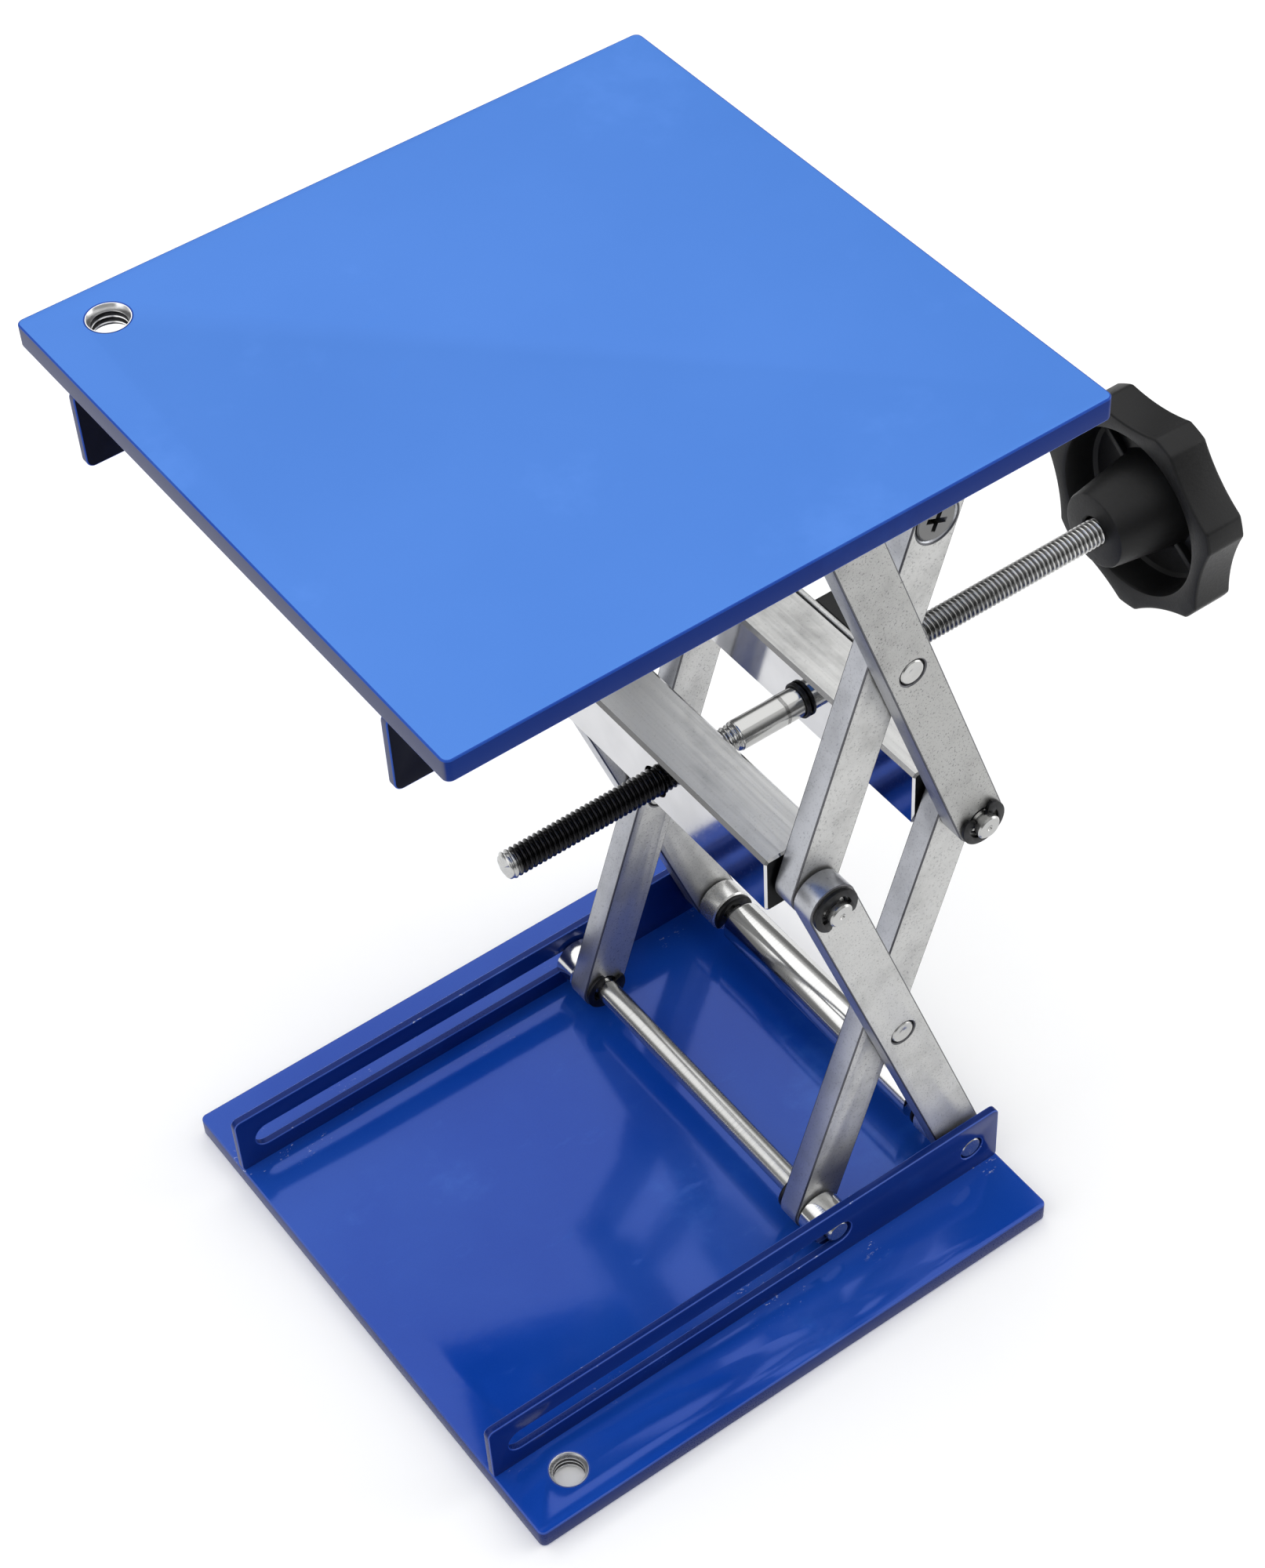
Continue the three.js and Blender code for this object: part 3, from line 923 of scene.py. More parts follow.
@dataclass(frozen=True)
class Placed:
    """One copy's place, with its turn about the Z and Y axes."""

    at: Point3
    turn: Point3 = (0.0, 0.0, 0.0)


def facing_out(x: float, y: float, z: float) -> list[Placed]:
    """Places on both sides of the jack, with the near copy turned to face outwards."""
    return [Placed((x, side.value * y, z), (0, 0, 0 if side is Side.FAR else math.pi)) for side in Side]


class SetOut:
    """Sets copies of one pattern out on points, as one plain mesh for one body."""

    def __init__(self) -> None:
        """Builds the tree."""
        recipe = Recipe("set_out", {"Pattern": "Object", "Material": "Material"})
        pattern = recipe.out("GeometryNodeObjectInfo", {"transform_space": "ORIGINAL"},
                             {"Object": recipe.input("Pattern")}, "Geometry")
        turn = recipe.out("GeometryNodeInputNamedAttribute", {"data_type": "FLOAT_VECTOR"},
                          {"Name": "turn"}, "Attribute")
        spin = recipe.out("FunctionNodeEulerToRotation", None, {0: turn})
        copies = recipe.out("GeometryNodeInstanceOnPoints", None,
                            {"Points": recipe.input("Geometry"), "Instance": pattern,
                             "Rotation": spin})
        recipe.close(copies)
        self.recipe = recipe

    def make(self, name: str, pattern: Shell, places: Sequence[Placed],
             finish: Finish) -> bpy.types.Object:
        """Makes one piece from copies.

        Args:
            name: the piece's name.
            pattern: the shape, drawn about the origin.
            places: where each copy goes.
            finish: the finish of all of them.

        Returns:
            The piece.
        """
        template = pattern.piece(f"{name}_pattern", finish.material)
        points = bpy.data.meshes.new(f"{name}_points")
        points.from_pydata([place.at for place in places], [], [])
        turns = points.attributes.new("turn", "FLOAT_VECTOR", "POINT")
        for item, place in zip(turns.data, places):
            item.vector = place.turn
        mesh = self.recipe.cook(name, points, Pattern=template, Material=finish.material)
        bpy.data.objects.remove(template)
        mesh.set_sharp_from_angle(angle=SHARP_ANGLE)
        return linked(name, mesh)


class Thread:
    """A threaded bar along X whose mesh lines follow the helix, closed at both ends."""

    SAMPLES = 8
    COLUMNS = 36

    def __init__(self) -> None:
        """Builds the tree."""
        names = ["Start", "End", "Pitch", "Crest", "Root", "Shank", "Fade From", "Fade To",
                 "Height", "Hand", "Chamfer", "Turns"]
        kinds = {label: "Float" for label in names}
        recipe = Recipe("thread", {**kinds, "Rows": "Int", "Columns": "Int", "Material": "Material"})
        take = recipe.input
        grid = recipe.out("GeometryNodeMeshGrid", None,
                          {"Size X": 1.0, "Size Y": 1.0, "Vertices X": take("Rows"),
                           "Vertices Y": take("Columns")})
        u, v, _ = recipe.parts(recipe.node("GeometryNodeInputPosition").outputs[0])
        turns = (u + 0.5) * take("Turns")
        lap = v + 0.5
        raw = take("Start") + (turns + take("Hand") * lap - 1.5) * take("Pitch")
        x = raw.most(take("Start")).least(take("End"))
        inside = (raw > take("Start")) * (raw < take("End"))
        wave = abs((turns + 0.0005).fraction() * 2 - 1)
        flank = ((wave - 0.12) / 0.76).most(0).least(1)
        threaded = take("Root") + (take("Crest") - take("Root")) * flank
        fade = ((x - take("Fade From")) / (take("Fade To") - take("Fade From"))).most(0).least(1)
        radius = threaded * (1 - fade) + take("Shank") * fade
        gap = (x - take("Start")).least(take("End") - x)
        radius = radius.least(take("Crest") - take("Chamfer") + gap) * inside
        angle = lap * TAU
        point = recipe.node("ShaderNodeCombineXYZ", None,
                            {0: x, 1: radius * angle.sine(),
                             2: take("Height") + radius * angle.cosine()})
        moved = recipe.out("GeometryNodeSetPosition", None,
                           {"Geometry": grid, "Position": point.outputs[0]})
        merged = recipe.out("GeometryNodeMergeByDistance", None,
                            {"Geometry": moved, "Distance": 0.002 * MM})
        smooth = recipe.out("GeometryNodeSetShadeSmooth", None, {"Geometry": merged})
        recipe.close(smooth)
        self.recipe = recipe

    def make(self, name: str, start: float, end: float, pitch: float,
             finish: Finish, **sizes: float) -> bpy.types.Mesh:
        """Cooks one thread.

        Args:
            name: the mesh's name.
            start: its lowest X.
            end: its highest X.
            pitch: distance between turns.
            finish: the finish.
            sizes: the tree's other inputs.

        Returns:
            The mesh.
        """
        turns = math.ceil((end - start) / pitch) + 3
        mesh = self.recipe.cook(
            name, bpy.data.meshes.new(f"{name}_start"), Start=start, End=end, Pitch=pitch,
            Turns=float(turns), Rows=turns * self.SAMPLES + 1, Columns=self.COLUMNS + 1,
            Material=finish.material, **sizes)
        face_outwards(mesh)
        return mesh


# ---- sub-assemblies --------------------------------------------------------------------------


@dataclass
class Plate:
    """A square plate with two slotted ribs and one tapped hole, finished by Surface's slots: the side and rib
    finishes are painted shade and the edge finish is painted highlight.
    """

    node: str
    body: str
    slot: str
    finishes: tuple[Finish, Finish, Finish, Finish]
    rib_out: float = 55.9 * MM
    corner: float = 1.6 * MM
    thickness: float = 5.3 * MM
    rib_thickness: float = 2.0 * MM
    rib_corner: float = 1.8 * MM
    slot_radius: float = 3.5 * MM
    slot_far: float = 66.5 * MM
    hole_radius: float = 3.3 * MM
    tap_from_edge: Point2 = (15 * MM, 10.5 * MM)
    tap_mouth: float = 4.6 * MM
    tap_root: float = 4.4 * MM
    tap_crest: float = 3.75 * MM
    tap_pitch: float = 1.4 * MM

    def build(self) -> None:
        """Makes the plate and the thread in its hole."""
        box = Extent.of(self.node)
        up = self.body == "base"
        outer = box.low.z if up else box.high.z
        sign = 1 if up else -1
        inner = outer + sign * self.thickness
        tap = (box.low.x + self.tap_from_edge[0],
               (box.low.y + self.tap_from_edge[1]) if up else (box.high.y - self.tap_from_edge[1]))
        shell = Shell()
        outline = rounded_rect((box.low.x, box.low.y), (box.high.x, box.high.y), self.corner)
        shell.plate([outline, circle(tap, self.tap_mouth)], Along.Z, min(outer, inner),
                    max(outer, inner), 0.35 * MM)
        stem = "base" if up else "top"
        slide = Extent.of(f"{stem}_slide_rod").side_centre
        fixed = Extent.of(f"{stem}_pivot_rod").side_centre
        foot, tip = inner - sign * 0.6 * MM, box.high.z if up else box.low.z
        for side in Side:
            y = side.value * self.rib_out
            limits = sorted((y, y - side.value * self.rib_thickness))
            rib = rounded_rect((box.low.x, min(foot, tip)), (box.high.x, max(foot, tip)),
                               self.rib_corner)
            slotted = stadium((-self.slot_far, slide[1]), slide, self.slot_radius)
            shell.plate([rib, slotted, circle(fixed, self.hole_radius)], Along.Y, *limits,
                        0.25 * MM, cap=Surface.RIB)
        plate = shell.piece(self.node, *(finish.material for finish in self.finishes))
        settle(plate, self.body, self.slot, self.node)
        self._tapping(tap, min(outer, inner), max(outer, inner))

    def _tapping(self, at: Point2, low: float, high: float) -> None:
        """Cuts the look of a thread into the hole: a bare ring with a sawtooth bore whose grooves are painted
        dark as shade.
        """
        sink, rim, crest = 0.3 * MM, 0.02 * MM, 0.35 * MM
        profile = [(self.tap_mouth + rim, low + rim), (self.tap_mouth - 0.1 * MM, low + rim)]
        grooves = []
        height = low + sink
        while height + self.tap_pitch < high - sink:
            grooves += [len(profile) - 1, len(profile)]
            profile += [(self.tap_root, height), (self.tap_root - 0.1 * MM, height + 0.35 * MM),
                        (self.tap_crest, height + self.tap_pitch - 2 * crest),
                        (self.tap_crest, height + self.tap_pitch - crest)]
            height += self.tap_pitch
        profile += [(self.tap_mouth - 0.15 * MM, high - rim), (self.tap_mouth + rim, high - rim)]
        shell = Shell().turned(profile, Along.Z, at, 56, closed=True, marked=grooves)
        # The groove faces take painted shade.
        bare, dark = Finish.TAPPED.material, Finish.GROOVE.material
        ring = shell.piece(f"{self.body}_hole_thread", bare, bare, dark)
        settle(ring, self.body, self.slot)


@dataclass
class Linkage:
    """The eight flat arms and the rivets where they cross."""

    width: float = 12.2 * MM
    hole: float = 3.3 * MM
    rivet: float = 2.95 * MM
    screw_head: float = 5.0 * MM
    seat_rim: float = 5.4 * MM
    set_out: SetOut = field(default_factory=SetOut)

    def build(self) -> None:
        """Makes every arm, rivet and the tie rod with its screws."""
        base, nut = pivot("lift"), pivot("nut_level")
        knob, top = pivot("knob_bar_level"), pivot("platform_level")
        lower, upper = (Extent.of(f"{stem}_slide_rod").side_centre for stem in ("base", "top"))
        ends = {"lower_outer": (base, nut), "lower_inner": (lower, knob),
                "upper_inner": (nut, top), "upper_outer": (knob, upper)}
        for stem, (a, b) in ends.items():
            for side in Side:
                self._arm(side, stem, a, b)
        self._rivets("lower", base, nut)
        self._rivets("upper", knob, upper)
        self._tie()

    def _arm(self, side: Side, stem: str, a: Point2, b: Point2) -> None:
        """Makes one arm between two pivots."""
        node = side.named(f"{stem}_arm")
        box = Extent.of(node)
        holes = [circle(at, self.hole, 40) for at in (a, halfway(a, b), b)]
        loops = [stadium(a, b, self.width / 2), *holes]
        shell = Shell()
        if stem == "upper_inner":
            seat = Extent.of("tie_rod").side_centre
            loops.append(circle(seat, self.seat_rim))
            self._seat(shell, seat, side, box)
        shell.plate(loops, Along.Y, box.low.y, box.high.y, 0.35 * MM)
        face = Finish.ARM_UPPER if stem == "upper_outer" else Finish.ARM
        # The arms' rounded edges take painted shade.
        arm = shell.piece(node, face.material, Finish.ARM_SIDE.material, Finish.ARM_EDGE.material)
        settle(arm, f"{stem}_arms", "tumbled_aluminium", node)

    def _seat(self, shell: Shell, at: Point2, side: Side, box: Extent) -> None:
        """Adds the countersunk seat of the tie screw, as a ring that fills the arm's hole."""
        face = box.high.y if side is Side.FAR else box.low.y
        back = box.low.y if side is Side.FAR else box.high.y
        rim, root, inwards = self.seat_rim, 2.7 * MM, -side.value
        profile = [(rim, face + inwards * 0.3 * MM), (root, face + inwards * 2.9 * MM),
                   (root, back - inwards * 0.1 * MM), (rim, back - inwards * 0.1 * MM)]
        shell.turned(profile, Along.Y, at, 48, closed=True)

    def _rivets(self, level: str, a: Point2, b: Point2) -> None:
        """Makes a pair of flush rivets."""
        nodes = both(f"rivet_{level}")
        box = Extent.of(nodes[1])
        length, rim = box.size.y, 0.25 * MM
        profile = [(0, -length / 2), (self.rivet - rim, -length / 2), (self.rivet, rim - length / 2),
                   (self.rivet, length / 2 - rim), (self.rivet - rim, length / 2),
                   (1.1 * MM, length / 2), (0.9 * MM, length / 2 - 0.12 * MM), (0, length / 2 - 0.12 * MM)]
        x, z = halfway(a, b)
        piece = self.set_out.make(f"rivets_{level}", Shell().turned(profile, Along.Y, (0, 0), 40),
                                  facing_out(x, box.centre.y, z), Finish.STEEL)
        settle(piece, f"{level}_outer_arms", "steel", *nodes)

    def _tie(self) -> None:
        """Makes the tie rod and the countersunk cross-head screws at its ends."""
        box = Extent.of("tie_rod")
        radius, chamfer, bore = box.size.x / 2, 0.4 * MM, 2.7 * MM
        half, depth = box.high.y, 9.4 * MM
        profile = [(0, depth - half), (bore, depth - half), (bore, -half), (radius - chamfer, -half),
                   (radius, chamfer - half), (radius, half - chamfer), (radius - chamfer, half),
                   (bore, half), (bore, half - depth), (0, half - depth)]
        shell = Shell().turned(profile, Along.Y, box.side_centre, 56)
        settle(shell.piece("tie_rod", Finish.STEEL.material), "upper_inner_arms", "steel", "tie_rod")
        nodes = both("tie_screw")
        head = Extent.of(nodes[1])
        places = facing_out(head.centre.x, head.high.y, head.centre.z)
        piece = self.set_out.make("tie_screws", self._cross_head(head.size.y), places, Finish.HEAD)
        settle(piece, "upper_inner_arms", "steel", *nodes)

    def _cross_head(self, length: float) -> Shell:
        """A countersunk screw along Y with its head's face at nought and a cross-shaped recess."""
        head, shank, sink = self.screw_head - 0.15 * MM, 2.4 * MM, 2.6 * MM
        arm, width, depth, turn = 2.7 * MM, 0.62 * MM, 2.1 * MM, math.radians(22)
        cross: list[Point2] = []
        for quarter in range(4):
            heading = turn + quarter * math.pi / 2
            ahead = Vector((math.cos(heading), math.sin(heading)))
            left = Vector((-ahead.y, ahead.x))
            for reach, side in ((width, -width), (arm, -width), (arm, width)):
                spot = ahead * reach + left * side
                cross.append((spot.x, spot.y))
        rim = circle((0, 0), head - 0.3 * MM, 48)
        shell = Shell()
        top = shell.ring([Along.Y.place(u, v, 0) for u, v in rim])
        mouth = shell.ring([Along.Y.place(u, v, 0) for u, v in cross])
        flat = [[Vector((u, v, 0)) for u, v in rim], [Vector((u, v, 0)) for u, v in cross]]
        for triangle in tessellate_polygon(flat):
            shell.face([(top + mouth)[n] for n in triangle], Surface.CAP)
        floor = shell.ring([Along.Y.place(0.6 * u, 0.6 * v, -depth) for u, v in cross])
        shell.band(mouth, floor, Surface.EDGE)
        shell.face(floor, Surface.CAP)
        levels = [(head, -0.3 * MM), (shank, -sink), (shank, -length)]
        below = top
        for radius, height in levels:
            ring = shell.ring([Along.Y.place(u, v, height) for u, v in circle((0, 0), radius, 48)])
            shell.band(below, ring, Surface.WALL)
            below = ring
        shell.face(below, Surface.CAP)
        return shell


class ClipShape:
    """An E-clip for a 6 mm pin, lying across Y and open towards +X."""

    OUTER = 5.75 * MM
    INNER = 2.7 * MM
    RELIEF = 3.95 * MM
    THICK = 0.9 * MM

    @classmethod
    def shell(cls) -> Shell:
        """Draws the clip about the origin."""
        degree = math.pi / 180
        mouth, lip = 34 * degree, cls.OUTER - 0.6 * MM
        outline = arc((0, 0), cls.OUTER, mouth + 7 * degree, TAU - mouth - 7 * degree, 64)
        outline.append((lip * math.cos(mouth), -lip * math.sin(mouth)))
        steps = [(326, 298, cls.INNER), (284, 214, cls.RELIEF), (199, 161, cls.INNER),
                 (146, 76, cls.RELIEF), (62, 34, cls.INNER)]
        for start, end, radius in steps:
            outline += arc((0, 0), radius, start * degree, end * degree, 10)
        outline.append((lip * math.cos(mouth), lip * math.sin(mouth)))
        return Shell().plate([outline], Along.Y, -cls.THICK / 2, cls.THICK / 2, 0.1 * MM, 2)


@dataclass
class PivotGear:
    """Cross rods and stub pins with their clips, sleeves, rollers and the base tube."""

    groove: float = 2.4 * MM
    chamfer: float = 0.4 * MM
    bore: float = 3.25 * MM
    set_out: SetOut = field(default_factory=SetOut)

    RODS = {"base_pivot": ("base", "sleeve", -120), "base_slide": ("lower_inner_arms", "roller", 60),
            "top_pivot": ("top", "roller", -60), "top_slide": ("upper_outer_arms", "sleeve", -60)}

    def build(self) -> None:
        """Makes all the round pieces on the pivots."""
        for stem, (body, ring, opening) in self.RODS.items():
            self._rod(stem, body)
            self._clips(stem, body, Extent.of(f"{stem}_rod").centre, math.radians(opening))
            self._rings(f"{stem}_{ring}", body, Finish.SLEEVE if ring == "sleeve" else Finish.CHROME)
        towards = {"nut": ("nut_bar", pivot("lift")),
                   "knob_side": ("knob_side_bar", Extent.of("top_slide_rod").side_centre)}
        for stem, (body, goal) in towards.items():
            at = Extent.of(*both(f"{stem}_pin")).centre
            self._pins(stem, body, at)
            self._clips(stem, body, at, math.atan2(goal[1] - at.z, goal[0] - at.x))
        self._tube()

    def _grooved(self, low: float, high: float, radius: float, grooves: Sequence[float]) -> list[Point2]:
        """Profile of a round bar with chamfered ends and clip grooves."""
        profile = [(0, low), (radius - self.chamfer, low), (radius, low + self.chamfer)]
        half = 0.75 * MM
        for middle in sorted(grooves):
            profile += [(radius, middle - half), (self.groove, middle - half),
                        (self.groove, middle + half), (radius, middle + half)]
        return profile + [(radius, high - self.chamfer), (radius - self.chamfer, high), (0, high)]

    def _rod(self, stem: str, body: str) -> None:
        """Makes one cross rod."""
        node = f"{stem}_rod"
        box = Extent.of(node)
        grooves = [Extent.of(clip).centre.y for clip in both(f"{stem}_clip")]
        profile = self._grooved(box.low.y, box.high.y, box.size.x / 2, grooves)
        shell = Shell().turned(profile, Along.Y, box.side_centre, 56)
        settle(shell.piece(node, Finish.STEEL.material), body, "steel", node)

    def _pins(self, stem: str, body: str, at: Vector) -> None:
        """Makes a pair of stub pins, each with a groove for its clip and a centre drill mark."""
        nodes = both(f"{stem}_pin")
        box = Extent.of(nodes[1])
        middle = box.centre.y
        groove = Extent.of(f"{stem}_clip_far").centre.y - middle
        profile = self._grooved(box.low.y - middle, box.high.y - middle, box.size.x / 2, [groove])
        end = profile[-1][1]
        profile = profile[:-1] + [(0.8 * MM, end), (0.5 * MM, end - 0.4 * MM), (0, end - 0.5 * MM)]
        piece = self.set_out.make(f"{stem}_pins", Shell().turned(profile, Along.Y, (0, 0), 48),
                                  facing_out(at.x, middle, at.z), Finish.STEEL)
        settle(piece, body, "steel", *nodes)

    def _clips(self, stem: str, body: str, at: Vector, opening: float) -> None:
        """Makes a pair of E-clips, open at an angle from +X towards +Z."""
        nodes = both(f"{stem}_clip")
        places = [Placed((at.x, Extent.of(node).centre.y, at.z), (0, -opening, 0)) for node in nodes]
        piece = self.set_out.make(f"{stem}_clips", ClipShape.shell(), places, Finish.CLIP)
        settle(piece, body, "black_clip", *nodes)

    def _rings(self, stem: str, body: str, finish: Finish) -> None:
        """Makes a pair of sleeves or rollers."""
        nodes = both(stem)
        box = Extent.of(nodes[1])
        half, radius, rim = box.size.y / 2, box.size.x / 2, 0.4 * MM
        profile = [(self.bore, -half), (radius - rim, -half), (radius, rim - half),
                   (radius, half - rim), (radius - rim, half), (self.bore, half)]
        places = [Placed((box.centre.x, side.value * box.centre.y, box.centre.z)) for side in Side]
        shell = Shell().turned(profile, Along.Y, (0, 0), 56, closed=True)
        piece = self.set_out.make(f"{stem}s", shell, places, finish)
        settle(piece, body, "steel", *nodes)

    def _tube(self) -> None:
        """Makes the spacer tube on the base pivot."""
        box = Extent.of("base_pivot_tube")
        half, radius, rim = box.size.y / 2, box.size.x / 2, 0.5 * MM
        profile = [(self.bore, -half), (radius - rim, -half), (radius - 0.15 * MM, 0.15 * MM - half),
                   (radius, rim - half), (radius, half - rim), (radius - 0.15 * MM, half - 0.15 * MM),
                   (radius - rim, half), (self.bore, half)]
        shell = Shell().turned(profile, Along.Y, box.side_centre, 72, closed=True)
        settle(shell.piece("base_pivot_tube", Finish.CHROME.material), "base", "steel", "base_pivot_tube")


@dataclass
class Drive:
    """Crossbars, drive screw, bearing pieces and knob."""

    pitch: float = 1.27 * MM
    crest: float = OiledScrew.CREST
    root: float = OiledScrew.ROOT
    shank: float = 3.65 * MM
    shank_from: float = 40.2 * MM
    shank_to: float = 66 * MM
    bore: float = 3.85 * MM

    def build(self) -> None:
        """Makes the screw, the pieces on it and dresses the crossbars."""
        for node in ("nut_crossbar", "knob_side_crossbar"):
            bar = frame["nodes"][node]
            for number in range(len(bar.material_slots)):
                bar.material_slots[number].material = Finish.BAR.material
            LOG.info("%s keeps its shape", node)
        self._screw()
        self._bush()
        self._covers()
        Knob().build()

    def _screw(self) -> None:
        """Makes the screw: two threads of opposite hand that meet inside the plain shank."""
        box = Extent.of("drive_screw")
        middle = (self.shank_from + self.shank_to) / 2
        thread = Thread()
        common = {"Crest": self.crest, "Root": self.root, "Shank": self.shank,
                  "Height": box.centre.z, "Chamfer": 0.7 * MM}
        overlap = 1.5 * MM
        parts = [thread.make("screw_left", box.low.x, middle + overlap, self.pitch, Finish.SCREW, Hand=1.0,
                             Fade_From=self.shank_from - 0.4 * MM, Fade_To=self.shank_from + 0.2 * MM,
                             **common),
                 thread.make("screw_right", middle - overlap, box.high.x, self.pitch, Finish.SCREW, Hand=-1.0,
                             Fade_From=self.shank_to + 0.4 * MM, Fade_To=self.shank_to - 0.2 * MM,
                             **common)]
        work = bmesh.new()
        for part in parts:
            work.from_mesh(part)
        mesh = bpy.data.meshes.new("drive_screw")
        work.to_mesh(mesh)
        work.free()
        mesh.materials.append(Finish.SCREW.material)
        for polygon in mesh.polygons:
            polygon.use_smooth = abs(polygon.normal.x) < 0.95
        settle(linked("drive_screw_threaded", mesh), "screw", "screw_steel", "drive_screw")

    def _bush(self) -> None:
        """Makes the black ring against the knob-side bar, a dark piece that stands in for the shade in the
        gap where the shank enters the bar's hole.
        """
        box = Extent.of("screw_bush")
        radius, rim = box.size.z / 2, 0.15 * MM
        profile = [(self.bore, box.low.x), (radius - rim, box.low.x), (radius, box.low.x + rim),
                   (radius, box.high.x), (self.bore, box.high.x)]
        shell = Shell().turned(profile, Along.X, (box.centre.y, box.centre.z), 56, closed=True)
        settle(shell.piece("screw_bush", Finish.CLIP.material), "bush", "black_clip", "screw_bush")

    def _covers(self) -> None:
        """Makes the cover strip and the bearing block behind the knob-side bar."""
        dress = {"cover_strip": (Finish.ARM, "tumbled_aluminium", 0.6 * MM),
                 "bearing_block": (Finish.PLASTIC, "black_plastic", 1.2 * MM)}
        for node, (finish, slot, corner) in dress.items():
            box = Extent.of(node)
            outline = rounded_rect((box.low.y, box.low.z), (box.high.y, box.high.z), corner)
            hole = circle((box.centre.y, box.centre.z), self.bore)
            shell = Shell().plate([outline, hole], Along.X, box.low.x, box.high.x, 0.3 * MM)
            settle(shell.piece(node, finish.material), "knob_side_bar", slot, node)


@dataclass
class Knob:
    """The lobed knob: shallow scallops between flat tips, a domed back and a deep round recess."""

    tip: float = 28.5 * MM
    valley: float = 25.6 * MM
    lobes: int = 7
    tip_half: float = math.radians(5.5)
    turn: float = math.radians(18.5)
    face: float = 156.6 * MM
    back: float = 167.6 * MM
    floor: float = 165.4 * MM
    recess: float = 21.8 * MM
    hub_root: float = 13.2 * MM
    hub_tip: float = 9.8 * MM
    bore: float = 3.7 * MM
    bore_to: float = 158.8 * MM
    web: float = 1.8 * MM
    web_height: float = 1.8 * MM
    segments: int = 336

    def outline(self, radius: float, angle: float) -> float:
        """Radius of the lobed edge.

        Args:
            radius: the radius that the profile asks for at a lobe's tip.
            angle: angle round the axis, from +Y towards +Z.

        Returns:
            That radius, less the scallop's depth at this angle.
        """
        leans = (-0.5, -0.25, 0.0, 0.25, 0.5)
        softened = sum(self._sharp(angle + math.radians(lean)) for lean in leans) / len(leans)
        return radius - (self.tip - softened)

    def _sharp(self, angle: float) -> float:
        """Radius of the edge before its corners are softened."""
        pitch = TAU / self.lobes
        off = (math.pi - angle - self.turn + pitch / 2) % pitch - pitch / 2
        if abs(off) <= self.tip_half:
            return self.tip
        edge = pitch / 2 - self.tip_half
        across, down = self.tip * math.sin(edge), self.tip * math.cos(edge) - self.valley
        scallop = (across ** 2 + down ** 2) / (2 * down)
        centre = self.valley + scallop
        lean = pitch / 2 - abs(off)
        return centre * math.cos(lean) - math.sqrt(scallop ** 2 - (centre * math.sin(lean)) ** 2)

    def _round(self, tip: float, start: float, end: float, radius: float, steps: int = 5) -> list[Point2]:
        """Profile of a rounded corner at the tip radius, between two heights."""
        sign = 1 if end > start else -1
        points = []
        for k in range(steps + 1):
            turn = k / steps * math.pi / 2
            points.append((tip - radius * (1 - math.sin(turn)), start + sign * radius * (1 - math.cos(turn))))
        return points

    def build(self) -> None:
        """Makes the knob."""
        box = Extent.of("knob")
        centre = (box.centre.y, Extent.of("drive_screw").centre.z)
        soft = 0.7 * MM
        rim_front = self._round(self.tip, self.face, self.back, soft)
        rim_back = self._round(self.tip, self.back, self.face, soft)[::-1]
        shell = Shell()
        self._lobed(shell, centre, self._face_profile(), rim_front + rim_back,
                    self._dome_profile(box.high.x))
        self._webs(shell, centre)
        piece = shell.piece("knob_moulded", Finish.PLASTIC.material)
        settle(piece, "screw", "black_plastic", "knob")

    def _webs(self, shell: Shell, centre: Point2) -> None:
        """Adds the four low webs between the hub and the recess wall."""
        for number in range(4):
            heading = math.radians(35 + 90 * number)
            ahead = Vector((math.cos(heading), math.sin(heading)))
            across = Vector((-ahead.y, ahead.x)) * self.web / 2
            near, far = ahead * (self.hub_root - 2 * MM), ahead * (self.recess + 0.5 * MM)
            corners = [near - across, far - across, far + across, near + across]
            outline = [(centre[0] + c.x, centre[1] + c.y) for c in corners]
            shell.plate([outline], Along.X, self.floor - self.web_height, self.floor + 0.5 * MM, 0.3 * MM)

    def _face_profile(self) -> list[Point2]:
        """Profile from the bottom of the bore over the hub and recess to the front face."""
        start = Extent.of("knob").low.x
        return [(0, self.bore_to), (self.bore, self.bore_to), (self.bore, start + 0.4 * MM),
                (self.bore + 0.4 * MM, start), (self.hub_tip - 0.8 * MM, start),
                (self.hub_tip - 0.25 * MM, start + 0.2 * MM), (self.hub_tip, start + 0.7 * MM),
                (self.hub_root - 0.8 * MM, self.floor - 1.0 * MM),
                (self.hub_root - 0.2 * MM, self.floor - 0.25 * MM),
                (self.hub_root + 0.8 * MM, self.floor), (self.recess - 1.8 * MM, self.floor),
                (self.recess - 0.9 * MM, self.floor - 0.8 * MM), (self.recess, self.face + 0.9 * MM),
                (self.recess + 0.3 * MM, self.face + 0.25 * MM), (self.recess + 0.9 * MM, self.face)]

    def _dome_profile(self, crown: float) -> list[Point2]:
        """Profile of the back, from its rim in to the crown."""
        return [(24.2 * MM, self.back), (24.0 * MM, self.back + 0.3 * MM), (22.6 * MM, self.back + 1.3 * MM),
                (17 * MM, crown - 0.5 * MM), (9 * MM, crown - 0.1 * MM), (0, crown)]

    def _lobed(self, shell: Shell, centre: Point2, inner: Sequence[Point2], rim: Sequence[Point2],
               dome: Sequence[Point2]) -> None:
        """Turns the profile, letting only its rim follow the lobed outline."""
        limit = min(r for r, _ in rim) - 0.01 * MM

        def swell(radius: float, angle: float) -> float:
            return self.outline(radius, angle) if radius >= limit else radius

        shell.turned([*inner, *rim, *dome], Along.X, centre, self.segments, swell=swell)


# ---- studio ----------------------------------------------------------------------------------


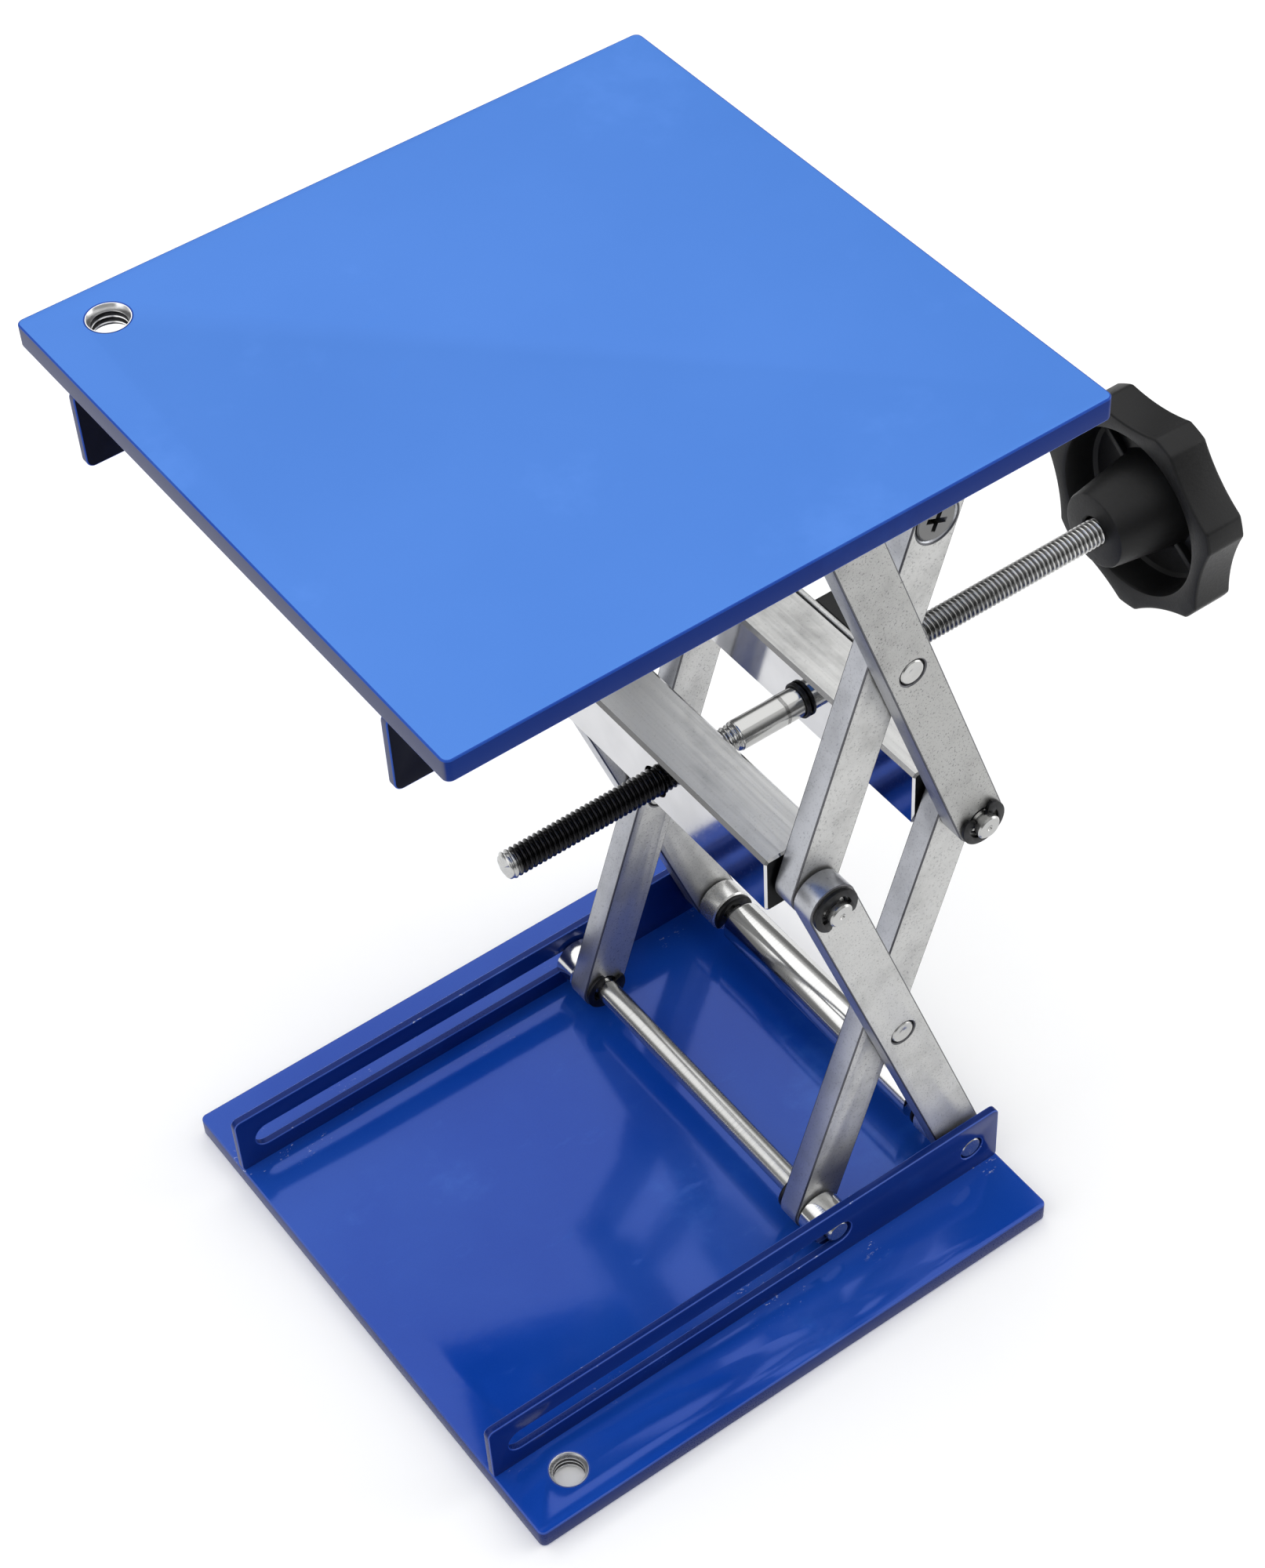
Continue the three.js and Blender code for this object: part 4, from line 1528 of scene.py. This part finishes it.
@dataclass(frozen=True)
class Lamp:
    """A soft rectangular light that looks at the jack."""

    name: str
    at: Point3
    size: Point2
    power: float

    def build(self, target: Vector) -> None:
        """Makes the light and aims it."""
        light = bpy.data.lights.new(self.name, "AREA")
        light.shape = "RECTANGLE"
        light.size, light.size_y = self.size
        light.energy = self.power
        lamp = linked(self.name, light)
        lamp.location = self.at
        lamp.rotation_euler = (target - Vector(self.at)).to_track_quat("-Z", "Y").to_euler()


@dataclass
class Studio:
    """A pale floor, soft light and the camera."""

    eye: Point3 = (-0.26088, -0.41426, 0.67043)
    ahead: Point3 = (0.36024, 0.56248, -0.74420)
    right: Point3 = (0.81010, -0.58420, -0.04942)
    lens: float = 76.39
    shift: Point2 = (0.0164, 0.0330)
    lamps: tuple[Lamp, ...] = (
        Lamp("overhead", (-0.1, 0.25, 1.5), (3.4, 3.0), 22),
        Lamp("left_fill", (-1.3, 0.1, 0.5), (0.8, 0.9), 3),
        Lamp("right_fill", (1.2, -0.5, 0.5), (0.8, 0.9), 5))

    def build(self) -> None:
        """Sets the stage, the lights and the camera."""
        self._floor()
        self._sky()
        for lamp in self.lamps:
            lamp.build(Vector((0, 0, 0.12)))
        self._camera()

    def _floor(self) -> None:
        """Makes the floor."""
        half, level = 4.0, -0.3 * MM
        mesh = bpy.data.meshes.new("floor")
        corners = [(half * x, half * y, level) for x, y in ((-1, -1), (1, -1), (1, 1), (-1, 1))]
        mesh.from_pydata(corners, [], [(0, 1, 2, 3)])
        paint = Paint("floor_pale")
        cloud = paint.noise(3, 2)
        mesh.materials.append(paint.finish(
            Base_Color=paint.blend(cloud, (0.94, 0.94, 0.94), (0.96, 0.96, 0.96)), Roughness=0.9,
            Specular_IOR_Level=0.1))
        linked("floor", mesh)

    def _sky(self) -> None:
        """Lights the room from above, darker near the horizon, and shows the camera a pale wall."""
        world = bpy.data.worlds.new("room")
        bpy.context.scene.world = world
        world.use_nodes = True
        world.node_tree.nodes.clear()
        graph = Graph(world.node_tree)
        height = graph.parts(graph.node("ShaderNodeTexCoord").outputs["Generated"])[2]
        seen = graph.node("ShaderNodeLightPath").outputs["Is Camera Ray"]
        glow = height.ramp(0.30, 0.72) * 0.72 + 0.20
        level = glow * (1 - Value(graph, seen)) + Value(graph, seen) * 0.98
        shade = graph.node("ShaderNodeBackground", None, {"Color": (1, 1, 1, 1), "Strength": level})
        graph.node("ShaderNodeOutputWorld", None, {"Surface": shade.outputs[0]})

    def _camera(self) -> None:
        """Makes the camera."""
        data = bpy.data.cameras.new("camera")
        data.lens = self.lens
        data.sensor_width = 36
        data.shift_x, data.shift_y = self.shift
        ahead, right = Vector(self.ahead).normalized(), Vector(self.right).normalized()
        up = right.cross(ahead).normalized()
        camera = linked("camera", data)
        turn = Matrix((right, up, -ahead)).transposed().to_4x4()
        camera.matrix_world = Matrix.Translation(self.eye) @ turn
        bpy.context.scene.camera = camera


def main() -> None:
    """Builds the jack from the bench up."""
    logging.basicConfig(level=logging.INFO, format="%(message)s")
    bpy.context.scene.view_settings.view_transform = "Standard"
    Studio().build()
    # Each plate takes its face, then its sides and ribs in painted shade, and its edges in painted highlight.
    Plate("base_plate", "base", "base_blue",
          (Finish.BASE, Finish.BASE_SIDE, Finish.BASE_EDGE, Finish.BASE_RIB)).build()
    Linkage().build()
    PivotGear().build()
    Drive().build()
    Plate("top_plate", "top", "platform_blue",
          (Finish.PLATFORM, Finish.PLATFORM_SIDE, Finish.PLATFORM_EDGE, Finish.PLATFORM_RIB)).build()


if __name__ == "__main__":
    main()
